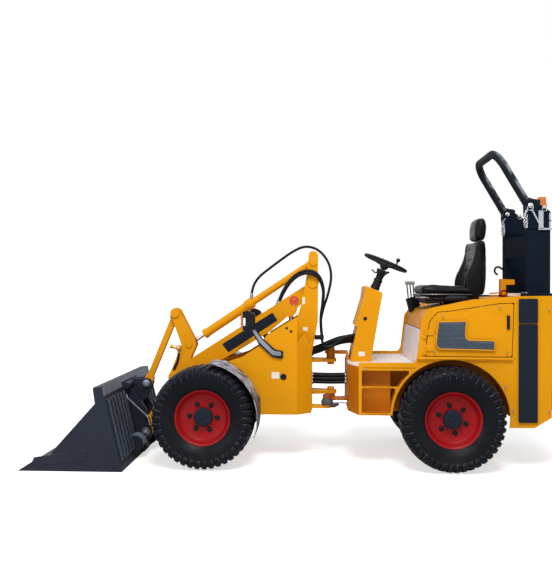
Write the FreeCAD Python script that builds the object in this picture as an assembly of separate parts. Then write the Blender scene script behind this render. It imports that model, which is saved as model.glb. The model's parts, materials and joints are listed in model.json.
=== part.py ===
"""Compact articulated wheel loader, built as separate named pieces in millimetres.

Frame: +X forward, +Y to the driver's left, +Z up, ground at Z = 0. The origin is the middle of
the machine's length and width on the ground. The machine stands straight, bucket flat on the ground.
"""
import FreeCAD, Part
import math
import os

V = FreeCAD.Vector

# ---------------------------------------------------------------- driving dimensions
WHEELBASE = 1780.0
FRONT_AXLE_X = 613.0
REAR_AXLE_X = FRONT_AXLE_X - WHEELBASE
AXLE_Z = 371.0
PIVOT_X = -317.0              # the machine bends about this vertical line

TYRE_R = 371.0                # over the lugs
TYRE_W = 318.0
TRACK = 982.0
RIM_R = 190.5                 # bead seat of a 15 inch rim
RIM_W = 228.0
RIM_FLANGE_R = 207.0
RIM_T = 8.0
DISC_INSET = 62.0             # disc's outer face behind the rim's outer edge
STUD_COUNT = 6
STUD_CIRCLE_R = 97.0
STUD_R = 9.0
HUB_R = 63.0
BRAKE_R = 112.0
SPINDLE_R = 30.0
BEAM = 110.0                  # square section of both axle beams
BEAM_END_Y = 330.0

BODY_HALF_W = 500.0           # rear body, over its side panels
SKIN = 8.0
SEAT_GAP = 0.3                # between pieces bolted face to face
FLOOR_Z = 741.0
SILL_TOP_Z = 765.0
FRAME_BOTTOM_Z = 385.0
REAR_FACE_X = -439.0          # front bulkhead of the rear frame
CORNER_X = -508.0             # where that bulkhead reaches the side panel
ARCH_R = 417.0
TAIL_X = -1927.0
TAIL_LOW_X = -1875.0
TAIL_BOTTOM_Z = 305.0
AXLE_ROOM = 112.0             # frame plates stop this far from the rear axle's middle
RISER_X = REAR_AXLE_X + math.sqrt(ARCH_R ** 2 - (FLOOR_Z - AXLE_Z) ** 2) + 41.7   # foot of the riser plate
BAY_WALL_Y = TRACK / 2 - TYRE_W / 2 - 36.0   # inner wall of each rear wheel arch
PLATE = 12.0
ARCH_TOP_Z = AXLE_Z + ARCH_R + PLATE

RUN = 0.05                    # radial running clearance of a pin in its bore
SIDE_GAP = 6.0                # beside moving lugs

# linkage points, (x, z)
BOOM_PIVOT = (-177.0, 1349.0)
TILT_ANCHOR = (-180.0, 1510.0)
CRANK_PIVOT = (915.0, 600.0)
CRANK_ROD_EYE = (806.0, 855.0)
CRANK_TOP = (916.0, 1104.0)
HITCH_TOP = (1146.0, 545.0)
HITCH_PIVOT = (1139.0, 170.0)
LIFT_LOW = (-100.0, 480.0)
LIFT_TOP = (7.0, 1130.0)
LIFT_TRAVEL = 72.0            # the boom's lift, in degrees
LIFT_SWING = -0.055           # the barrel's swing, per radian of the boom's lift
LIFT_STRETCH = 266.0          # the rod's travel, in millimetres per radian of the boom's lift

BOOM_HALF_W = 95.0
BOOM_CORE_HALF_W = 78.0
NOSE_DRUM_R = 46.0
TOWER_IN_Y = 120.0
TOWER_T = 20.0
FRONT_HALF_W = 290.0
CRANK_IN_Y = 35.0
CRANK_T = 20.0
CRANK_FOOT_R = 50.0
CRANK_EYE_R = 57.0
CRANK_TOP_R = 40.0
EYE_HALF_W = CRANK_IN_Y - SIDE_GAP
PIN_R = 20.0

BUCKET_HALF_W = 700.0
BUCKET_SIDE_T = 12.0
BUCKET_SHEET = 8.0

PARTS = {}


# ---------------------------------------------------------------- helpers
def keep(name, shape):
    PARTS[name] = shape


def box(x0, x1, y0, y1, z0, z1):
    return Part.makeBox(x1 - x0, y1 - y0, z1 - z0, V(x0, y0, z0))


def outline(points):
    """Closed wire through (a, b) points; a point (a, b, r) is rounded with radius r."""
    pts = [V(p[0], 0, p[1]) for p in points]
    radii = [p[2] if len(p) > 2 else 0.0 for p in points]
    n = len(pts)
    starts, ends, arcs = [], [], []
    for i in range(n):
        before = (pts[i - 1] - pts[i]).normalize()
        after = (pts[(i + 1) % n] - pts[i]).normalize()
        if radii[i] <= 0:
            starts.append(pts[i])
            ends.append(pts[i])
            arcs.append(None)
            continue
        half = before.getAngle(after) / 2
        reach = radii[i] / math.tan(half)
        middle = (before + after).normalize() * (radii[i] / math.sin(half))
        crown = pts[i] + middle - middle * (radii[i] / middle.Length)
        starts.append(pts[i] + before * reach)
        ends.append(pts[i] + after * reach)
        arcs.append(crown)
    edges = []
    for i in range(n):
        if arcs[i] is not None:
            edges.append(Part.Arc(starts[i], arcs[i], ends[i]).toShape())
        nxt = starts[(i + 1) % n]
        if (nxt - ends[i]).Length > 1e-6:
            edges.append(Part.LineSegment(ends[i], nxt).toShape())
    return Part.Wire(edges)


def plate(points, y0, y1):
    """Side-view outline in X and Z, drawn across from y0 to y1."""
    face = Part.Face(outline(points))
    face.translate(V(0, y0, 0))
    return face.extrude(V(0, y1 - y0, 0))


def plan(points, z0, z1):
    """Plan-view outline in X and Y, drawn up from z0 to z1."""
    face = Part.Face(outline(points))
    face.rotate(V(0, 0, 0), V(1, 0, 0), -90)
    face.translate(V(0, 0, z0))
    return face.extrude(V(0, 0, z1 - z0))


def disc_y(at, r, y0, y1):
    return Part.makeCylinder(r, y1 - y0, V(at[0], y0, at[1]), V(0, 1, 0))


def post(x, y, r, z0, z1):
    return Part.makeCylinder(r, z1 - z0, V(x, y, z0), V(0, 0, 1))


def rod(p, q, r):
    return Part.makeCylinder(r, (q - p).Length, p, q - p)


def fuse(*shapes):
    first, rest = shapes[0], list(shapes[1:])
    return first.fuse(rest).removeSplitter() if rest else first


def both_sides(shape):
    return fuse(shape, shape.mirror(V(0, 0, 0), V(0, 1, 0)))


def pair(shape):
    """The shape and its mirror image, as two solids that don't touch."""
    return Part.makeCompound([shape, shape.mirror(V(0, 0, 0), V(0, 1, 0))])


def xz(point, y=0.0):
    return V(point[0], y, point[1])


def toward(p, q, distance):
    """The (x, z) point at a distance from p on the way to q."""
    length = math.hypot(q[0] - p[0], q[1] - p[1])
    return (p[0] + (q[0] - p[0]) * distance / length, p[1] + (q[1] - p[1]) * distance / length)


def strap(p, rp, q, rq, y0, y1):
    """A bar between two round ends, its sides tangent to both."""
    dx, dz = q[0] - p[0], q[1] - p[1]
    length = math.hypot(dx, dz)
    along, lean = math.atan2(dz, dx), math.acos((rp - rq) / length)
    corners = []
    for centre, r in ((p, rp), (q, rq)):
        for side in (1, -1):
            a = along + side * lean
            corners.append((centre[0] + r * math.cos(a), centre[1] + r * math.sin(a)))
    web = plate([corners[0], corners[2], corners[3], corners[1]], y0, y1)
    return fuse(web, disc_y(p, rp, y0, y1), disc_y(q, rq, y0, y1))


def revolve_y(points, x, z):
    """Turn a closed (r, y) outline about the wheel line through (x, z)."""
    edges = []
    for item in points:
        if len(item) == 2:
            a, b = item
            edges.append(Part.LineSegment(V(a[0], a[1], 0), V(b[0], b[1], 0)).toShape())
        else:
            a, m, b = item
            edges.append(Part.Arc(V(a[0], a[1], 0), V(m[0], m[1], 0), V(b[0], b[1], 0)).toShape())
    face = Part.Face(Part.Wire(edges))
    solid = face.revolve(V(0, 0, 0), V(0, 1, 0), 360)
    solid.translate(V(x, 0, z))
    return solid


def chain(points):
    """Straight runs through (r, y) points, closed."""
    return [(points[i], points[(i + 1) % len(points)]) for i in range(len(points))]


# ---------------------------------------------------------------- wheels and axles
def tyre(x):
    half = TYRE_W / 2
    mid = TRACK / 2
    bead, wall = RIM_R + SEAT_GAP, 14.0
    seat = RIM_W / 2 - 12
    shoulder_r, crown_y = TYRE_R - 24, half - 26
    outer = [
        ((bead, mid - seat), (bead + 19, mid - seat - 3)),
        ((bead + 19, mid - seat - 3), (bead + 72, mid - half), (shoulder_r, mid - half + 6)),
        ((shoulder_r, mid - half + 6), (TYRE_R - 6, mid - crown_y)),
        ((TYRE_R - 6, mid - crown_y), (TYRE_R, mid), (TYRE_R - 6, mid + crown_y)),
        ((TYRE_R - 6, mid + crown_y), (shoulder_r, mid + half - 6)),
        ((shoulder_r, mid + half - 6), (bead + 72, mid + half), (bead + 19, mid + seat + 3)),
        ((bead + 19, mid + seat + 3), (bead, mid + seat)),
    ]
    inner = [(bead, mid + seat - wall), (bead + 60, mid + half - 2 * wall),
             (TYRE_R - 3 * wall, mid + crown_y - wall), (TYRE_R - 3 * wall, mid - crown_y + wall),
             (bead + 60, mid - half + 2 * wall), (bead, mid - seat + wall)]
    path = outer + [((bead, mid + seat), inner[0])]
    path += [(inner[i], inner[i + 1]) for i in range(len(inner) - 1)]
    path += [(inner[-1], (bead, mid - seat))]
    return revolve_y(path, x, AXLE_Z)


def rim(x):
    mid, half = TRACK / 2, RIM_W / 2
    barrel = revolve_y(chain([
        (RIM_R - RIM_T, mid - half), (RIM_FLANGE_R, mid - half), (RIM_FLANGE_R, mid - half + 6),
        (RIM_R, mid - half + 12), (RIM_R, mid - 40), (RIM_R - 22, mid - 28), (RIM_R - 22, mid + 10),
        (RIM_R, mid + 22), (RIM_R, mid + half - 12), (RIM_FLANGE_R, mid + half - 6),
        (RIM_FLANGE_R, mid + half), (RIM_R - RIM_T, mid + half), (RIM_R - RIM_T, mid + 25),
        (RIM_R - 22 - RIM_T, mid + 13), (RIM_R - 22 - RIM_T, mid - 31), (RIM_R - RIM_T, mid - 43),
    ]), x, AXLE_Z)
    face = mid + half - DISC_INSET
    dish = revolve_y(chain([
        (HUB_R + SEAT_GAP, face), (122, face), (RIM_R - RIM_T + 2, face + 22),
        (RIM_R - RIM_T + 2, face + 22 - RIM_T), (124, face - RIM_T), (HUB_R + SEAT_GAP, face - RIM_T),
    ]), x, AXLE_Z)
    for i in range(STUD_COUNT):
        a = math.radians(360.0 / STUD_COUNT * i + 30)
        hole = (x + STUD_CIRCLE_R * math.cos(a), AXLE_Z + STUD_CIRCLE_R * math.sin(a))
        dish = dish.cut(disc_y(hole, STUD_R + SEAT_GAP, face - RIM_T - 1, face + 1))
    return fuse(barrel, dish)


def hub(x):
    face = TRACK / 2 + RIM_W / 2 - DISC_INSET
    back = face - RIM_T - SEAT_GAP
    root = BEAM_END_Y + 22
    body = revolve_y(chain([
        (SPINDLE_R + RUN, root), (BRAKE_R, root), (BRAKE_R, root + 70), (HUB_R + 12, root + 78),
        (STUD_CIRCLE_R + 20, back - 14), (STUD_CIRCLE_R + 20, back), (HUB_R, back), (HUB_R, face + 30),
        (HUB_R - 8, face + 38), (0.0, face + 38), (0.0, root + 92), (SPINDLE_R + RUN, root + 92),
    ]), x, AXLE_Z)
    studs = []
    for i in range(STUD_COUNT):
        a = math.radians(360.0 / STUD_COUNT * i + 30)
        at = (x + STUD_CIRCLE_R * math.cos(a), AXLE_Z + STUD_CIRCLE_R * math.sin(a))
        studs.append(disc_y(at, STUD_R, back - 2, face + 16))
    return fuse(body, *studs)


def wheels():
    for end, x in (("front", FRONT_AXLE_X), ("rear", REAR_AXLE_X)):
        for name, make in (("tyre", tyre), ("rim", rim), ("hub", hub)):
            left = make(x)
            keep(f"{name}_{end}_left", left)
            keep(f"{name}_{end}_right", left.mirror(V(0, 0, 0), V(0, 1, 0)))


def axle(x, nose):
    """Square beam with a round middle housing, end flanges and spindles; nose is +1 or -1."""
    half = BEAM / 2
    beam = box(x - half, x + half, -BEAM_END_Y, BEAM_END_Y, AXLE_Z - half, AXLE_Z + half)
    drum = disc_y((x, AXLE_Z - 10), 100, -75, 75)
    drum = drum.cut(box(x - 200, x + 200, -200, 200, AXLE_Z + half, AXLE_Z + 200))
    snout = Part.makeCylinder(48, 106, V(x, 0, AXLE_Z - 10), V(nose, 0, 0))
    ends = []
    for side in (1, -1):
        flange = disc_y((x, AXLE_Z), 85, 0, 20)
        spindle = disc_y((x, AXLE_Z), SPINDLE_R, 0, 110)
        end = fuse(flange, spindle)
        if side < 0:
            end = end.mirror(V(0, 0, 0), V(0, 1, 0))
        end.translate(V(0, side * BEAM_END_Y, 0))
        ends.append(end)
    return fuse(beam, drum, snout, *ends)


# ---------------------------------------------------------------- rear frame and body
def rear_ears(z0, z1, bore):
    ear = plan([(REAR_FACE_X - 4, -70), (REAR_FACE_X - 4, 70), (PIVOT_X - 20, 46), (PIVOT_X - 20, -46)], z0, z1)
    return fuse(ear, post(PIVOT_X, 0, 46, z0, z1)).cut(post(PIVOT_X, 0, bore, z0 - 1, z1 + 1))


UPPER_EAR = (786.0, 808.0)
UPPER_FRONT_EAR = (722.0, 748.0)
LOWER_EAR = (418.0, 440.0)
LOWER_FRONT_EAR = (474.0, 500.0)
STEER_Y = 172.0
STEER_EYE_X = PIVOT_X + 30.0
STEER_FOOT_X = -875.0
STEER_Z = 430.0


def rear_frame():
    inner = BODY_HALF_W - SKIN - SEAT_GAP
    bulkhead = plan([(REAR_FACE_X, -300), (REAR_FACE_X, 300), (CORNER_X, inner), (CORNER_X - 14, inner),
                     (REAR_FACE_X - PLATE, 304), (REAR_FACE_X - PLATE, -304),
                     (CORNER_X - 14, -inner), (CORNER_X, -inner)], FRAME_BOTTOM_Z, FLOOR_Z - 8)
    window = box(REAR_FACE_X - 40, REAR_FACE_X + 10, STEER_Y - 78, STEER_Y + 92, FRAME_BOTTOM_Z + PLATE, STEER_Z + 48)
    bulkhead = bulkhead.cut(window)
    arch_front = REAR_AXLE_X + math.sqrt(ARCH_R ** 2 - (FRAME_BOTTOM_Z - AXLE_Z) ** 2)
    pan = plan([(REAR_FACE_X - 8, -298), (REAR_FACE_X - 8, 298), (CORNER_X - 8, inner),
                (arch_front, inner), (arch_front, BAY_WALL_Y), (REAR_AXLE_X + AXLE_ROOM, BAY_WALL_Y),
                (REAR_AXLE_X + AXLE_ROOM, -BAY_WALL_Y), (arch_front, -BAY_WALL_Y), (arch_front, -inner),
                (CORNER_X - 8, -inner)], FRAME_BOTTOM_Z, FRAME_BOTTOM_Z + PLATE)
    tail_pan = box(TAIL_LOW_X + PLATE, REAR_AXLE_X - AXLE_ROOM, -BAY_WALL_Y, BAY_WALL_Y,
                   FRAME_BOTTOM_Z, FRAME_BOTTOM_Z + PLATE)
    beam_top = AXLE_Z + BEAM / 2 + SEAT_GAP
    wall = plate([(arch_front - 1, FRAME_BOTTOM_Z), (arch_front - 1, FLOOR_Z - 8), (RISER_X - 39, FLOOR_Z - 8),
                  (RISER_X - 39, ARCH_TOP_Z), (TAIL_LOW_X + PLATE, ARCH_TOP_Z), (TAIL_LOW_X + PLATE, FRAME_BOTTOM_Z),
                  (REAR_AXLE_X - AXLE_ROOM, FRAME_BOTTOM_Z), (REAR_AXLE_X - AXLE_ROOM, beam_top),
                  (REAR_AXLE_X + AXLE_ROOM, beam_top), (REAR_AXLE_X + AXLE_ROOM, FRAME_BOTTOM_Z)],
                 BAY_WALL_Y - PLATE, BAY_WALL_Y)
    liner = disc_y((REAR_AXLE_X, AXLE_Z), ARCH_R + PLATE, BAY_WALL_Y - 1, inner)
    liner = liner.cut(disc_y((REAR_AXLE_X, AXLE_Z), ARCH_R, 0, BODY_HALF_W))
    liner = liner.cut(box(REAR_AXLE_X - 500, REAR_AXLE_X + 500, 0, BODY_HALF_W, -100, FRAME_BOTTOM_Z))
    step_back = box(arch_front + 6, CORNER_X - 13, 400, 400 + PLATE / 2, FRAME_BOTTOM_Z + 1, FLOOR_Z - 9)
    step_back = step_back.cut(disc_y((REAR_AXLE_X, AXLE_Z), ARCH_R + 2, 0, BODY_HALF_W))
    cross = box(REAR_AXLE_X + AXLE_ROOM, REAR_AXLE_X + AXLE_ROOM + PLATE, -BAY_WALL_Y, BAY_WALL_Y, FRAME_BOTTOM_Z, 600)
    back = box(TAIL_LOW_X, TAIL_LOW_X + PLATE, -inner, inner, FRAME_BOTTOM_Z, ARCH_TOP_Z)
    steer_bracket = fuse(
        box(STEER_FOOT_X - 32, STEER_FOOT_X + 32, STEER_Y - 32, STEER_Y + 32, FRAME_BOTTOM_Z + 1, STEER_Z - 30),
        post(STEER_FOOT_X, STEER_Y, 18, FRAME_BOTTOM_Z + 1, STEER_Z + 34))
    boss = post(PIVOT_X, 0, 34, UPPER_FRONT_EAR[1] + 1, UPPER_EAR[0] + 1)
    boss = boss.cut(post(PIVOT_X, 0, PIN_R + 1, 0, 2000))
    low_boss = post(PIVOT_X, 0, 34, LOWER_EAR[1] - 1, LOWER_FRONT_EAR[0] - 1)
    low_boss = low_boss.cut(post(PIVOT_X, 0, PIN_R + 1, 0, 2000))
    mast = box(REAR_FACE_X - PLATE, REAR_FACE_X, -70, 70, FLOOR_Z - 9, UPPER_EAR[1])
    return fuse(bulkhead, pan, tail_pan, both_sides(wall), both_sides(liner), both_sides(step_back),
                cross, back, steer_bracket, mast, boss, low_boss,
                rear_ears(*UPPER_EAR, PIN_R + 1), rear_ears(*LOWER_EAR, PIN_R + 1))


def pivot_pins():
    up = fuse(post(PIVOT_X, 0, PIN_R, UPPER_FRONT_EAR[0] - 14, UPPER_EAR[1] + 2),
              post(PIVOT_X, 0, 32, UPPER_EAR[1] + SEAT_GAP, UPPER_EAR[1] + 28),
              post(PIVOT_X, 0, 27, UPPER_FRONT_EAR[0] - 22, UPPER_FRONT_EAR[0] - 4))
    low = fuse(post(PIVOT_X, 0, PIN_R, LOWER_EAR[0] - 2, LOWER_FRONT_EAR[1] + 14),
               post(PIVOT_X, 0, 44, LOWER_EAR[0] - 56, LOWER_EAR[0] - SEAT_GAP),
               post(PIVOT_X, 0, 27, LOWER_FRONT_EAR[1] + 4, LOWER_FRONT_EAR[1] + 22))
    return Part.makeCompound([up, low])


SIDE_OUTLINE = [
    (CORNER_X, FRAME_BOTTOM_Z), (CORNER_X, SILL_TOP_Z, 8), (RISER_X + 28, SILL_TOP_Z, 30), (RISER_X + 9, 803),
    (RISER_X - 24, 1076, 60), (RISER_X - 79, 1155, 50), (-1313, 1220, 200), (-1645, 1244, 300), (TAIL_X, 1248, 16), (TAIL_X, 585),
    (TAIL_LOW_X, 585), (TAIL_LOW_X, 380), (-1754, TAIL_BOTTOM_Z), (-1560, TAIL_BOTTOM_Z),
    (-1560, FRAME_BOTTOM_Z - 40), (-800, FRAME_BOTTOM_Z - 40), (-760, FRAME_BOTTOM_Z),
]
DOOR_OUTLINE = [(RISER_X - 50, 831, 14), (RISER_X - 82, 1060, 40), (RISER_X - 139, 1128, 30), (-1140, 1131, 60),
                (-1509, 1189, 60), (-1607, 1193, 16), (-1594, 811, 16), (RISER_X - 57, 815, 14)]
DOOR_GAP = 5.0
HINGE_X = RISER_X - 51.0
HINGE_Y = BODY_HALF_W + 7.5
HINGE_R = 7.0
KNUCKLES = ((850.0, 890.0), (965.0, 1005.0))


def grown(points, by):
    """The same outline, moved outward by a margin along each corner's bisector."""
    face = Part.Face(outline([(p[0], p[1]) for p in points]))
    return face.makeOffset2D(by, 2)


def side_panel():
    y0 = BODY_HALF_W - SKIN
    skin = plate(SIDE_OUTLINE, y0, BODY_HALF_W)
    skin = skin.cut(disc_y((REAR_AXLE_X, AXLE_Z), ARCH_R, 0, BODY_HALF_W + 1))
    hole = grown(DOOR_OUTLINE, DOOR_GAP)
    hole.translate(V(0, y0 - 1, 0))
    skin = skin.cut(hole.extrude(V(0, SKIN + 2, 0)))
    steps = fuse(box(-868, -530, 0, 600, 593, 708), box(-770, -530, 0, 600, 400, 579))
    steps = steps.cut(disc_y((REAR_AXLE_X, AXLE_Z), ARCH_R + 16, 0, 700))
    skin = skin.cut(steps)
    for z0, z1 in KNUCKLES:
        low = post(HINGE_X, HINGE_Y, HINGE_R, z0 - 24, z0 - 1)
        leaf = box(HINGE_X + 3, HINGE_X + 22, BODY_HALF_W - 1, HINGE_Y, z0 - 24, z0 - 1)
        pin = post(HINGE_X, HINGE_Y, 3.0, z0 - 24, z1)
        skin = fuse(skin, low, leaf, pin)
    return skin


def door():
    y0 = BODY_HALF_W - SKIN
    leaf = plate(DOOR_OUTLINE, y0, BODY_HALF_W)
    for z0, z1 in KNUCKLES:
        knuckle = post(HINGE_X, HINGE_Y, HINGE_R, z0, z1)
        arm = box(HINGE_X - 60, HINGE_X, BODY_HALF_W + 0.5, HINGE_Y, z0, z1)
        pad = box(HINGE_X - 60, HINGE_X - 36, BODY_HALF_W - 1, BODY_HALF_W + 1, z0, z1)
        leaf = fuse(leaf, knuckle, arm, pad)
        leaf = leaf.cut(post(HINGE_X, HINGE_Y, 3.0 + RUN, z0 - 1, z1 + 1))
    slot = box(-1579, -1559, y0 - 1, BODY_HALF_W + 1, 1006, 1107)
    return leaf.cut(slot)


HOOD_LINE = [(RISER_X - 35, 1005), (RISER_X - 52, 1090), (RISER_X - 85, 1140), (-1313, 1206), (-1645, 1230), (TAIL_X, 1234)]


def hood():
    inner = BODY_HALF_W - SKIN - SEAT_GAP
    lower = [(x, z - SKIN) for x, z in reversed(HOOD_LINE[3:])]
    under = [(RISER_X - 91, 1132), (RISER_X - 60, 1086), (RISER_X - 43, 1005)]
    return plate(HOOD_LINE + lower + under, -inner, inner)


def riser_plate():
    inner = BODY_HALF_W - SKIN - SEAT_GAP
    return plate([(RISER_X, FLOOR_Z), (RISER_X - 31, 999), (RISER_X - 37, 999), (RISER_X - 6, FLOOR_Z)], -inner, inner)


def floor_plate():
    inner = BODY_HALF_W - SKIN - SEAT_GAP
    return plan([(REAR_FACE_X - 1, -296), (REAR_FACE_X - 1, 296), (CORNER_X, inner), (RISER_X + 1, inner),
                 (RISER_X + 1, -inner), (CORNER_X, -inner)], FLOOR_Z - 8 + SEAT_GAP, FLOOR_Z).cut(
                     box(REAR_FACE_X - PLATE - SEAT_GAP, 0, -70 - SEAT_GAP, 70 + SEAT_GAP, 700, 800))


def tail_panel():
    inner = BODY_HALF_W - SKIN - SEAT_GAP
    panel = box(TAIL_X, TAIL_X + SKIN, -inner, inner, 600, 1225)
    slots = []
    for i in range(9):
        z = 690 + 50 * i
        slots.append(box(TAIL_X - 1, TAIL_X + SKIN + 1, -300, 300, z, z + 24))
    shelf = box(TAIL_X, TAIL_LOW_X - SEAT_GAP, -inner, inner, 592, 600)
    return fuse(panel.cut(Part.makeCompound(slots)), shelf)


def tail_bumper():
    inner = BODY_HALF_W - 12
    bar = plan([(TAIL_X, -inner + 40, 30), (TAIL_X, inner - 40, 30), (TAIL_LOW_X - SEAT_GAP, inner),
                (TAIL_LOW_X - SEAT_GAP, -inner)], 430, 580)
    return bar


def tow_hitch():
    jaw = fuse(box(TAIL_LOW_X - 50, TAIL_LOW_X + 60, -45, 45, 330, 345), box(TAIL_LOW_X - 50, TAIL_LOW_X + 60, -45, 45, 372, 384.7))
    web = box(TAIL_LOW_X + 30, TAIL_LOW_X + 60, -45, 45, 330, 384.7)
    hole = post(TAIL_LOW_X - 18, 0, 13, 300, 400)
    return fuse(jaw, web).cut(hole)


def engine_block():
    return box(-1780, -1290, -230, 230, FRAME_BOTTOM_Z + PLATE + SEAT_GAP, 1010)


# ---------------------------------------------------------------- driver's place
DASH = [(-462, FLOOR_Z + SEAT_GAP), (-505, 955), (-520, 1008), (-497, 1015), (-563, 1225, 20), (-578, 1322, 10),
        (-708, 1266, 14), (-618, FLOOR_Z + SEAT_GAP)]
DASH_HALF_W = 200.0
WHEEL_C = (-749.0, 1500.0)
COLUMN_TILT = 23.0
STEER_RIM_R = 168.0
STEER_GRIP_R = 12.0
COLUMN_R = 22.0


def dash_tower():
    return plate(DASH, -DASH_HALF_W, DASH_HALF_W)


def column_point(down):
    a = math.radians(COLUMN_TILT)
    return V(WHEEL_C[0] + down * math.sin(a), 0, WHEEL_C[1] - down * math.cos(a))


def steering_column():
    sleeve = rod(column_point(238), column_point(70), COLUMN_R)
    stub = rod(column_point(70), column_point(42), 11)
    boot = Part.makeCone(38, 26, 60, column_point(222), column_point(160) - column_point(222))
    cut = plate(DASH, -DASH_HALF_W, DASH_HALF_W)
    lever = rod(column_point(120), column_point(88) + V(-28, 118, 0), 5)
    tip = rod(column_point(88) + V(-28, 116, 0), column_point(85) + V(-38, 158, 0), 9)
    return fuse(sleeve, stub, boot, lever, tip).cut(cut)


def steering_wheel():
    axis = (column_point(0) - column_point(100)).normalize()
    centre = column_point(0)
    ring = Part.makeTorus(STEER_RIM_R, STEER_GRIP_R, V(0, 0, 0), V(0, 0, 1))
    hub_body = Part.makeCylinder(34, 30, V(0, 0, -40), V(0, 0, 1))
    cap = Part.makeCone(34, 22, 10, V(0, 0, -10), V(0, 0, 1))
    bore = Part.makeCylinder(11 + RUN, 30, V(0, 0, -60), V(0, 0, 1))
    collar = Part.makeCylinder(26, 14, V(0, 0, -54), V(0, 0, 1))
    spokes = []
    for deg in (0, 120, 240):
        a = math.radians(deg)
        tip = V(STEER_RIM_R * math.cos(a), STEER_RIM_R * math.sin(a), 0)
        spokes.append(rod(V(24 * math.cos(a), 24 * math.sin(a), -24), tip, 8))
    knob_at = V(-0.41 * STEER_RIM_R, 0.912 * STEER_RIM_R, 0)
    knob = fuse(Part.makeCylinder(6, 30, knob_at + V(0, 0, 6), V(0, 0, 1)),
                Part.makeSphere(16, knob_at + V(0, 0, 45)))
    wheel = fuse(ring, hub_body, cap, collar, *spokes, knob).cut(bore)
    wheel.rotate(V(0, 0, 0), V(0, 1, 0), -COLUMN_TILT)
    wheel.translate(centre)
    return wheel


SEAT_HALF_W = 235.0
SEAT_Z = 1251.0


def seat_base():
    slides = both_sides(box(-1370, -1040, 130, 165, 1222, 1244))
    pan = box(-1510, -990, -200, 200, 1240, SEAT_Z - SEAT_GAP)
    foot = box(-1330, -1070, -150, 150, 1196, 1224)
    return fuse(slides, pan, foot).cut(plate(HOOD_SOLID, -400, 400))


HOOD_SOLID = [(x, z + SEAT_GAP) for x, z in HOOD_LINE] + [(TAIL_X, 900), (-968, 900)]


def seat_cushion():
    return plate([(-1012, SEAT_Z, 16), (-1001, 1296, 22), (-1022, 1322, 18), (-1360, 1300, 10), (-1385, SEAT_Z, 10)],
                 -SEAT_HALF_W, SEAT_HALF_W)


def seat_back():
    half = SEAT_HALF_W - 5
    slab = plate([(-1392, SEAT_Z, 8), (-1462, SEAT_Z, 20), (-1487, 1450, 150), (-1479, 1661, 24), (-1417, 1661, 24),
                  (-1416, 1530, 200), (-1391, 1432, 80)], -half, half)
    wing = plate([(-1400, 1308), (-1322, 1309, 20), (-1300, 1350, 14), (-1386, 1432, 60), (-1405, 1440)],
                 half - 55, half)
    return fuse(slab, both_sides(wing))


def headrest():
    pad = plate([(-1450, 1672, 18), (-1447, 1836, 24), (-1500, 1836, 24), (-1507, 1672, 18)], -130, 130)
    stalks = [post(-1460, y, 7, 1661 + SEAT_GAP, 1680) for y in (-60, 60)]
    return fuse(pad, *stalks)


def control_levers():
    base = plate([(-975, 1100), (-945, 1215, 10), (-1040, 1240, 10), (-1060, 1160)], -330, -262)
    levers = []
    for i, (x, y) in enumerate(((-965, -300), (-990, -300), (-1015, -300))):
        top = V(x + 12, y, 1345)
        levers.append(rod(V(x, y, 1225), top, 5))
        levers.append(Part.makeSphere(15, top))
    return fuse(base, *levers).cut(plate(HOOD_SOLID, -400, 400))


# ---------------------------------------------------------------- roll bar
POST_X = (-1765.0 - 145.0, -1765.0 + 18.0)
POST_Y = (279.0, 351.0)
POST_TOP_Z = 1860.0
HOOP_PIVOT = (-1763.0, 1905.0)
HOOP_LEAN = 30.5
HOOP_LENGTH = 470.0
HOOP_TUBE_R = 30.0
HOOP_Y = 315.0
HOOP_BEND = 130.0
CHEEK_T = 10.0


def rops_posts():
    x0, x1 = POST_X
    y0, y1 = POST_Y
    column = box(x0, x1, y0, y1, 1262, POST_TOP_Z - 60)
    cheek_out = plate([(x0, POST_TOP_Z - 120), (x0, POST_TOP_Z, 20), (HOOP_PIVOT[0] - 30, HOOP_PIVOT[1] + 36, 20),
                       (x1 + 10, HOOP_PIVOT[1] + 36, 20), (x1 + 10, HOOP_PIVOT[1] - 40, 20), (x1, POST_TOP_Z - 120)],
                      y0 - CHEEK_T, y0)
    cheek_in = cheek_out.copy()
    cheek_in.translate(V(0, y1 - y0 + CHEEK_T, 0))
    foot = box(x0 - 10, x1 + 25, y0 - 20, y1 + 20, 1200, 1264)
    one = fuse(column, cheek_out, cheek_in, foot)
    one = fuse(one, disc_y(HOOP_PIVOT, 12, y0 - CHEEK_T - 6, y1 + CHEEK_T + 6))
    one = one.cut(plate(HOOD_SOLID, -400, 400))
    tie = box(x1 - 14, x1 - 2, -y0 - 1, y0 + 1, 1540, 1694)
    return fuse(both_sides(one), tie)


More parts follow.
